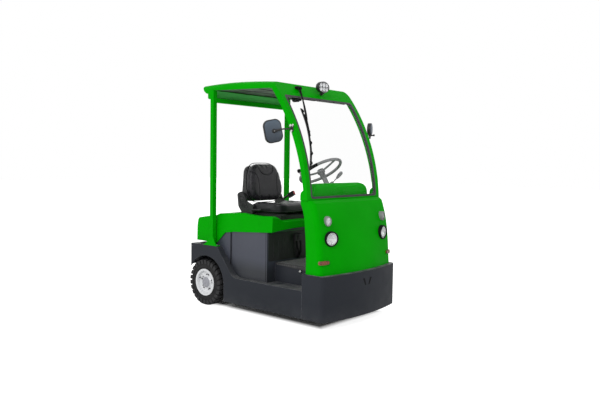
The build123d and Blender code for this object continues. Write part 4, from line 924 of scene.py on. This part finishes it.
def add_mirrors():
    x, y, z = -0.668, -0.425, 1.53
    place = move(x, y, z) @ spin("Z", -24) @ spin("Y", -12) @ spin("X", 90)
    mirror_head("mirror_right", place, rounded_outline(0.071, 0.086, 0.046, 10), 0.026, "mirror_right")
    arm, bolts = Shape(), Shape()
    arm.turned(mm2(0, 0, 16.5, 0, 16.5, 6, 13, 10, 8.5, 16.5, 0, 18), place, 32)
    elbow, clamp_z = Vector((x + 0.07, y - 0.03, z + 0.018)), z + 0.024
    clamp_y = pillar_y(clamp_z) + 0.006
    start = place @ Vector((0, 0, 0.012))
    arm.bar([start, start.lerp(elbow, 0.35), start.lerp(elbow, 0.75), elbow,
            Vector((-0.516, clamp_y, clamp_z)), Vector((-0.5, clamp_y, clamp_z))],
            [0.0105, 0.0095, 0.0072, 0.006, 0.006, 0.007], 14)
    base = move(-0.4955, clamp_y, clamp_z + 0.005) @ spin("Y", -90)
    arm.prism(mm2(-27, -11, -19, -19, 0, -13, 22, -19, 30, -9, 28, 11, 18, 19, 0, 14, -19, 19, -27, 10),
            0.0, 0.006, base, 0.001)
    for dy, dz in ((-0.012, 0.024), (0.012, 0.022), (0.0, -0.021)):
        bolts.bolt((-0.5015, clamp_y + dy, clamp_z + 0.004 + dz), (-1, 0, 0), 0.013, 0.007)
    bolts.turned(mm2(0, 17.8, 4.2, 17.8, 3.8, 19.5, 0, 20), place, 16)
    add_piece("mirror_right_arm", arm, "black_plastic", smooth=40)
    x, y, z = 0.68, -0.388, 1.606
    place = move(x, y, z) @ spin("Z", 24) @ spin("X", 90) @ move(0, 0, 0.018)
    mirror_head("mirror_left", place, oval_points(0.058, 0.055, 56), 0.036, "mirror_left")
    arm = Shape()
    low, neck_z = z - 0.055, z - 0.083
    clamp_y = pillar_y(neck_z)
    arm.bar([(x, y, low + 0.006), (x, y, low - 0.008), (x - 0.002, y - 0.002, low - 0.02),
            (x - 0.008, y - 0.006, neck_z), (x - 0.03, y - 0.02, neck_z), (0.508, clamp_y, neck_z),
            (0.499, clamp_y, neck_z)], [0.01, 0.01, 0.0085, 0.0078, 0.007, 0.007, 0.008], 14)
    arm.bar([(x, y, low - 0.004), (x + 0.006, y - 0.02, low - 0.002), (x + 0.012, y - 0.036, low)],
            [0.006, 0.006, 0.006], 12)
    arm.bar([(x + 0.0115, y - 0.032, low), (x + 0.0135, y - 0.042, low)], [0.0095, 0.0085], 16)
    arm.pad((0.024, 0.015, 0.007, 4), 0.0, 0.012, move(0.4955, clamp_y, neck_z) @ spin("Y", 90), 0.002)
    for dz in (-0.016, 0.016):
        bolts.bolt((0.5075, clamp_y, neck_z + dz), (1, 0, 0), 0.011, 0.006, False)
    add_piece("mirror_left_arm", arm, "black_plastic", smooth=40)
    add_piece("mirror_bolts", bolts, "zinc")


def add_wiper():
    """Wiper: spindle cap, twin arms, yoke with claws, backing strip and rubber."""
    top = 1.903

    def at(x, drop, off):
        z = top - drop
        return Vector((x, glass_y(z) - off, z))

    pivot = Vector((-0.222, glass_y(top) - 0.026, top))
    shape, rubber_strip = Shape(), Shape()
    shape.turned(mm2(0, 38, 11, 38, 15, 30, 16.5, 10, 20, 4, 20, -4, 0, -4),
            facing_front(pivot.x, glass_y(top) - 0.001, top), 32)
    shape.turned(mm2(0, 36, 9, 36, 11.5, 30, 12.5, 4, 0, 4),
            facing_front(pivot.x - 0.03, glass_y(top) - 0.001, top + 0.004), 24)
    main = [pivot, pivot.lerp(at(-0.322, 0.198, 0.036), 0.3), at(-0.322, 0.198, 0.036),
            at(-0.344, 0.272, 0.03)]
    shape.bar(curve(main, 6), 0.0062, 10)
    second = [pivot + Vector((-0.03, 0, 0.004)), at(-0.283, 0.09, 0.034), at(-0.336, 0.205, 0.036),
            at(-0.352, 0.276, 0.03)]
    shape.bar(curve(second, 6), 0.0042, 8)
    line = curve([at(-0.337, 0.18, 0.016), at(-0.352, 0.33, 0.016), at(-0.387, 0.505, 0.016),
            at(-0.435, 0.644, 0.016)], 10)
    for to, y, z, radius, steps in ((shape, -0.002, 0, 0.0045, 8), (rubber_strip, 0.008, 0.002, 0.0034, 6),
                                    (rubber_strip, 0.0125, 0.003, 0.0018, 6)):
        to.bar([p + Vector((0, y, z)) for p in line], radius, steps)
    for k in (2, 7, 12, 17, 22, 27):
        p = line[k]
        along = (line[min(k + 1, len(line) - 1)] - line[k - 1]).normalized()
        shape.bar([p - along * 0.013 + Vector((0, -0.006, 0)), p + Vector((0, -0.01, 0)),
                p + along * 0.013 + Vector((0, -0.006, 0))], [0.005, 0.0075, 0.005], 8)
        for hand in (-1, 1):
            q = p + along * 0.013 * hand
            shape.bar([q + Vector((0, -0.005, 0)), q + Vector((0, 0.008, 0.001))], 0.0042, 8)
    yoke = [line[4] + Vector((0, -0.008, 0)), at(-0.346, 0.272, 0.03), line[14] + Vector((0, -0.008, 0))]
    shape.bar(curve(yoke, 6), 0.0052, 8)
    add_piece("wiper_arm", shape, "deep_black", smooth=50, replaces=["wiper"])
    add_piece("wiper_rubber", rubber_strip, "seal_rubber", smooth=50)


def add_steering():
    """Column with its gaiter, direction lever, and the wheel with hub cover, grip ribs and turning knob."""
    rake = radians(33)
    axis = Vector((0, sin(rake), cos(rake)))
    centre = Vector((0, -0.355, 1.222))
    down = axis.cross((1, 0, 0))
    place = move(*centre) @ Matrix(((1, down.x, axis.x), (0, down.y, axis.y), (0, down.z, axis.z))).to_4x4()
    column = Shape().turned(mm2(0, -200, 36, -200, 36, -168, 31, -162, 34, -155, 29, -149, 32, -142, 23,
            -136, 20.5, -66, 25, -60, 25, -23.8, 0, -23.8), place, 40)
    lever = Shape().bar(mm3(22, -458, 1118, 60, -453, 1136, 128, -439, 1170), 0.0045, 12)
    lever.bar(mm3(112, -443, 1162, 126, -440, 1169, 160, -431, 1186, 200, -422, 1205, 211, -419.5, 1210.5),
            [0.008, 0.0115, 0.0155, 0.0155, 0.01], 16)
    lever.turned(mm2(0, -20, 16, -20, 16, 12, 10, 18, 0, 18), move(0.022, -0.458, 1.118) @ spin("Y", 64),
            24)
    add_piece("column", column, "grey_plastic", replaces=["steering_column"])
    add_piece("direction_lever", lever, "grey_plastic", smooth=50)
    rim_r = 0.186
    rim = [place @ Vector((rim_r * c, rim_r * s, 0)) for c, s in circle(96)]
    wheel = Shape().ring(rim, 0.0128, 16)
    wheel.turned(mm2(0, -22.8, 30, -22.8, 33.5, -19, 33.5, -6, 29, 4, 26, 7.2, 0, 7.2), place, 40)
    bars = mm3(20, 5, -8, 60, 5.8, -8, 130, 5.2, -5, 168, 6.2, -1, 182, 9, 0)   # radius, offset, height
    for i in range(3):
        spoke = place @ spin("Z", 30 + 120 * i)
        for lane in (-1, 1):
            wheel.bar([spoke @ Vector((r, lane * offset, h)) for r, offset, h in bars], 0.0062, 12)
    knob_at = place @ move(-0.892 * rim_r, 0.452 * rim_r, 0)
    wheel.turned(mm2(0, 8, 7.5, 8, 6, 14, 6, 41, 0, 41), knob_at, 20)
    hub = Shape().turned(mm2(24, 7.2, 27, 7.2, 25, 12, 16, 14.8, 0, 15.5, 0, 7.2), place, 40)
    for i in range(3):
        a = radians(150 + 120 * i)
        hub.bolt(place @ Vector((0.029 * cos(a), 0.029 * sin(a), 0.0072)), axis, 0.006, 0.0035, False)
    grip = Shape()
    for i in range(33, 58, 3):
        p = rim[i]
        out = (p - centre).normalized()
        other = (rim[i + 1] - p).normalized().cross(out)
        half_circle = [pi * (1 + k / 8) for k in range(9)]
        grip.bar([p + 0.0131 * (out * cos(a) + other * sin(a)) for a in half_circle], 0.0022, 6)
    held = [radians(a) for a in range(162, 218, 4)]
    grip.bar([place @ Vector((rim_r * cos(a), rim_r * sin(a), 0)) for a in held], 0.0142, 16)
    knob = Shape().turned(mm2(0, 38.5, 12, 38.5, 15.5, 44, 16.5, 52, 15.5, 61, 11, 66.5, 0, 68), knob_at,
            32)
    add_piece("wheel_rim_and_spokes", wheel, "grey_plastic", "steering_wheel", smooth=50,
            replaces=["steering_wheel"])
    add_piece("wheel_hub_cover", hub, "black_plastic", "steering_wheel")
    add_piece("wheel_grip_ribs", grip, "deep_black", "steering_wheel", smooth=60)
    add_piece("turning_knob", knob, "deep_black", "steering_wheel", smooth=60)


def add_dash():
    """Instrument panel on the driver's side of the dash: display, dial, switches and key."""
    plate, face, marks, keys = Shape(), Shape(), Shape(), Shape()
    place = on_rear_face(0.0, -0.4902, 1.055)
    for x in (-0.17, 0.17):
        plate.pad((0.1, 0.036, 0.012), 0.0, 0.005, place @ move(x, 0, 0), 0.0015)
    face.pad((0.038, 0.024, 0.004), 0.0045, 0.0062, place @ move(-0.205, 0, 0))
    dial = place @ move(0.205, 0, 0)
    face.turned(mm2(0, 4.5, 27, 4.5, 27, 6.5, 0, 6.5), dial, 32)
    plate.turned(mm2(27, 4, 31, 4, 31, 9, 27.5, 10, 27, 7.5), dial, 32)
    for i in range(9):
        a = radians(210 - 30 * i)
        marks.bar([dial @ Vector((r * cos(a), -r * sin(a), 0.0066)) for r in (0.021, 0.0245)], 0.0007, 6)
    marks.bar([dial @ Vector((0, 0, 0.0075)), dial @ Vector((0.013, -0.015, 0.0072))], [0.0012, 0.0006], 6)
    for i in range(4):
        x = -0.229 + 0.013 * i
        marks.bar([place @ Vector((x + dx, 0.012, 0.0064)) for dx in (0, 0.008)], 0.0016, 6)
    for i in range(3):
        at = place @ move(-0.135 + 0.025 * i, 0, 0) @ spin("X", 8 if i else -8)
        keys.pad((0.0085, 0.014, 0.002, 3), 0.004, 0.0085, at, 0.0012)
    keys.turned(mm2(0, 4, 12, 4, 11, 10, 6, 12, 0, 12), place @ move(0.125, 0, 0), 24)
    keys.pad((0.002, 0.011, 0.001, 2), 0.011, 0.03, place @ move(0.125, 0, 0))
    add_piece("dash_panels", plate, "black_plastic")
    add_piece("dash_displays", face, "dial_face")
    add_piece("dial_marks", marks, "dial_mark")
    add_piece("dash_switches", keys, "battery_case")


def add_floor_details():
    """Coins on the mat, ribs on its side kerbs and on the pedals, and the riser's fitting."""
    coins, ribs = Shape(), Shape()
    for i in range(27):
        for j in range(18):
            x = -0.325 + 0.025 * i
            y = -0.608 + 0.025 * j + (0.0125 if i % 2 else 0.0)
            if y < -0.172:
                coins.turned(mm2(8.8, -0.4, 8.8, 0.8, 7.2, 1.7, 0, 1.7, 0, -0.4), move(x, y, 0.454), 12)
    for i in range(19):
        y = -0.56 + 0.021 * i
        for side in (-1, 1):
            coins.bar([(side * 0.3445, y, 0.436), (side * 0.3445, y, 0.449)], 0.0018, 6)
    for x, wide in ((-0.095, 0.06), (-0.19, 0.09)):
        pad = move(x, -0.556, 0.512) @ spin("X", -35)
        end = wide / 2 - 0.005
        for k in range(6):
            ribs.bar([pad @ Vector((x, 0.0062, -0.032 + 0.0128 * k)) for x in (-end, end)], 0.0022, 8)
    # The coins are lighter than the mat: a painted highlight on their tops.
    add_piece("mat_coins", coins, "coin_rubber")
    add_piece("pedal_ribs", ribs, "floor_rubber")
    fitting = Shape().turned(mm2(0, 0, 11, 0, 11.5, 4, 9.5, 8, 5, 10.5, 0, 11.5),
            along_x(-0.3445, -0.438, 0.411, -1), 24)
    fitting.bolt((-0.3555, -0.438, 0.411), (-1, 0, 0), 0.009, 0.005, False)
    add_piece("riser_fitting", fitting, "zinc")


def add_battery_details():
    """Door seams, latch, black front cover (painted shade on the shadowed front face) with its connector
    and leads, and cell tops under the hood.
    """
    seams, cover, leads, cells = Shape(), Shape(), Shape(), Shape()
    for side in (-1, 1):
        seams.bar([(side * 0.4375, 0.2775, 0.305), (side * 0.4375, 0.2775, 0.69)], 0.0072, 8)
        seams.bar([(side * 0.4385, -0.14, 0.302), (side * 0.4385, -0.14, 0.715)], 0.0028, 8)
        seams.bar([(side * 0.4403, -0.138, 0.705), (side * 0.4403, 0.272, 0.705)], 0.0014, 6)
    front = facing_front(0, -0.1532, 0.585)
    # Black cover over the box's front face: painted shade for that shadowed face.
    cover.pad((0.425, 0.118, 0.02), 0.0, 0.003, front, 0.001)
    for i in range(-6, 7):
        cover.pad((0.0035, 0.085, 0.003, 3), 0.0028, 0.0048, front @ move(0.06 * i, -0.01, 0), 0.001)
    cover.pad((0.045, 0.03, 0.006), 0.003, 0.03, front @ move(-0.065, 0.06, 0), 0.003)
    cover.pad((0.012, 0.02, 0.004), 0.03, 0.04, front @ move(-0.065, 0.06, 0), 0.002)
    for k, x in enumerate((-0.088, -0.042)):
        end = x + 0.02 - 0.03 * k
        lead = [(x, -0.17, 0.616), (x + 0.004, -0.176, 0.57), (x + 0.016 - 0.02 * k, -0.178, 0.52),
                (end, -0.168, 0.478), (end, -0.1535, 0.468)]
        leads.bar(curve(lead, 8), 0.0075, 12)
    for i in range(6):
        for j in range(4):
            at = move(-0.345 + 0.138 * i, -0.095 + 0.1 * j, 0.7095)
            cells.pad((0.06, 0.043, 0.004, 3), 0.0, 0.004, at, 0.001)
            cells.turned(mm2(0, 4, 12, 4, 11, 9, 0, 10), at, 16)
            cells.turned(mm2(0, 4, 7, 4, 7, 12, 0, 12), at @ move(0.04, 0.0, 0), 12)
    add_piece("box_seams", seams, "deep_black")
    add_piece("box_front_cover_painted_shade", cover, "black_plastic")
    add_piece("battery_leads", leads, "deep_black", smooth=60)
    add_piece("battery_cells", cells, "battery_case")


def add_roof_details():
    """Sheet in a lighter green inside the roof's tail, painting the light on that face; lining battens with
    a dark strip painting the shadowed gap above the rear beam; header trim and wiper motor.
    """
    lit_sheet, batten, trim, motor = Shape(), Shape(), Shape(), Shape()
    # Sheet across the tail in a lighter green: painted light on that face of the green paint.
    lit_sheet.prism(mm2(-462, 1842.5, 462, 1842.5, 462, 1912, -462, 1912), 0.0, 0.004,
            move(0, 0.512, 0) @ spin("X", 90))
    for x in (-0.2, 0.2):
        batten.bar([(x, -0.1, 1.9025), (x, 0.5, 1.9185)], 0.0035, 6)
    # Dark strip along the tail sheet's lower edge: a painted shadow line for the gap above the rear beam.
    batten.bar([(-0.455, 0.5065, 1.846), (0.455, 0.5065, 1.846)], 0.0045, 6)
    for y in (0.02, 0.27):
        z = 1.8991 + 0.028 * (y + 0.15)           # under the sloping lining
        batten.bar([(-0.455, y, z), (0.455, y, z)], 0.0035, 6)
    head_y = glass_y(1.833)
    trim.pad((0.12, 0.009, 0.003, 3), 0.0, 0.02, facing_front(-0.13, head_y + 0.045, 1.8235), 0.002)
    grey = Shape().pad((0.195, 0.008, 0.003, 3), 0.0, 0.02, facing_front(0.21, head_y + 0.045, 1.8235),
            0.002)
    motor.turned(mm2(0, 0, 26, 0, 28, 4, 28, 50, 24, 56, 0, 56),
            facing_front(-0.235, head_y + 0.085, 1.818), 32)
    motor.pad((0.034, 0.022, 0.008, 4), 0.006, 0.03, facing_front(-0.2, head_y + 0.085, 1.826), 0.002)
    add_piece("tail_sheet_painted_lit", lit_sheet, "pale_green")
    add_piece("lining_battens_and_shadow_line", batten, "seal_rubber")
    add_piece("header_trim_black", trim, "deep_black")
    add_piece("header_trim_grey", grey, "strip_grey")
    add_piece("wiper_motor", motor, "deep_black", smooth=40)


def add_fixings():
    """Bolts of the post feet, rear plate, hood hinges, coupling and front cowl."""
    steel, dark = Shape(), Shape()
    for side in (-1, 1):
        for y in (0.412, 0.532):
            steel.bolt((side * 0.482, y, 0.554), (0, 0, 1), 0.014, 0.008)
        for z in (0.2, 0.32, 0.5):
            dark.bolt((side * 0.3, 0.7398, z), (0, 1, 0), 0.018, 0.009)
        for x in (0.217, 0.273):
            dark.bolt((side * x, 0.7335, 0.5475), (0, 0, 1), 0.009, 0.004, False)
    for z in (0.243, 0.3, 0.437):
        dark.bolt((0.15, 0.7518, z), (0, 1, 0), 0.016, 0.008)
    for x in (-0.3, 0.3):
        dark.bolt((x, -0.6105, 0.8), (0, 1, 0), 0.012, 0.006)
    add_piece("foot_bolts", steel, "zinc")
    add_piece("frame_bolts", dark, "dark_paint")


def add_slot_shade_fills():
    """Black fills in the bumper's two lashing slots: painted shade for the dark inside of the holes."""
    shape = Shape()
    for side in (-1, 1):
        slot = mm2(60, 371, 37, 371, 16.5, 315, 29.5, 315)
        outline = [(side * x, z) for x, z in slot]
        shape.prism(outline if side < 0 else outline[::-1], 0.842, 0.8588, spin("X", 90), 0.001)
    add_piece("slot_fills_painted_shade", shape, "deep_black")


def add_reflector_rims():
    """Thin dark frames round the amber reflectors."""
    shape, tree = Shape(), tree_of(nodes["front_reflectors"].data)
    for side in (-1, 1):
        points = []
        for c, s in circle(64):                    # rounded ends at 0.4145 and 0.47, seen from the front
            x = 0.4155 + 0.0005 * c if abs(c) < 0.5 else (0.4145 if c < 0 else 0.47) + 0.0135 * c
            hit = tree.ray_cast(Vector((side * x, -0.95, 0.53 + 0.0148 * s)), Vector((0, 1, 0)))
            if hit[0]:
                points.append(hit[0])
        shape.ring(points, 0.0016, 6)
    add_piece("reflector_rims", shape, "black_plastic", smooth=60)


for add in (add_wheels, add_backrest, add_cushion, add_seat_trim, add_lamps, add_mirrors, add_wiper,
            add_steering, add_dash, add_floor_details, add_battery_details, add_roof_details,
            add_fixings, add_slot_shade_fills, add_reflector_rims):
    add()


# ---- stage -----------------------------------------------------------------------
def add_area(name, at, look_at, size, energy):
    data = bpy.data.lights.new(name, "AREA")
    data.shape, data.size, data.energy = "DISK", size, energy
    aimed(name, data, at, Vector(look_at) - Vector(at))


def add_world(strength):
    """Soft white surroundings that the camera, mirrors and glass see as plain white."""
    world = bpy.data.worlds.new("studio")
    bpy.context.scene.world = world
    world.use_nodes = True
    n = Nodes(world.node_tree)
    rays, ground = n.node("LightPath").outputs, n.tree.nodes["Background"].inputs
    seen = n.maths("MAXIMUM", rays["Is Camera Ray"], rays["Is Glossy Ray"])
    seen = n.maths("MAXIMUM", seen, rays["Is Transmission Ray"])
    n.feed(ground["Strength"], n.span(seen, 0.0, 1.0, strength, 1.0))
    n.feed(ground["Color"], (1, 1, 1, 1))


def add_floor(half, glow):
    """Pale floor that gives off light towards the camera, so that it meets the background; the glow is held
    back inside the vehicle's footprint, painting the edge of its shadow.
    """
    mesh = bpy.data.meshes.new("floor")
    mesh.from_pydata([(half * x, half * y, 0) for x, y in ((-1, -1), (1, -1), (1, 1), (-1, 1))], [],
            [(0, 1, 2, 3)])
    f = Finish("floor", 0.9, (0.86, 0.86, 0.86), Specular_IOR_Level=0.0)
    seen = f.node("LightPath").outputs["Is Camera Ray"]
    footprint, fade = {"X": 0.5, "Y": 0.8}, (-0.15, -0.07)   # half sizes, and the fade from their edge
    aside, ahead = (f.maths("SUBTRACT", f.maths("ABSOLUTE", f.axis(a)), h) for a, h in footprint.items())
    # No glow inside the footprint inset by 0.07 to 0.15 m: the crisp edge of the dark patch under the
    # vehicle is a painted shadow edge, and shadow beyond it is glowed out.
    glow_round_painted_shadow = f.span(f.maths("MAXIMUM", aside, ahead), *fade, 0.0, glow)
    f.set(Emission_Color=(1, 1, 1, 1), Emission_Strength=f.times(seen, glow_round_painted_shadow))
    mesh.materials.append(f.material)
    link("floor", mesh)


add_camera()
add_world(strength=0.6)
add_area("key", (-5.5, -2.0, 4.6), (0, 0, 0.8), size=3.2, energy=150)
add_area("fill", (1.5, -6.5, 3.0), (0, 0, 0.8), size=3.0, energy=16)
add_area("low", (-4.0, 2.6, 0.7), (0, 0.35, 1.7), size=2.0, energy=18)
add_area("back", (3.5, 5.0, 4.0), (0, 0, 0.8), size=3.0, energy=70)
add_floor(half=30.0, glow=0.85)
bpy.context.scene.view_settings.view_transform = "Standard"
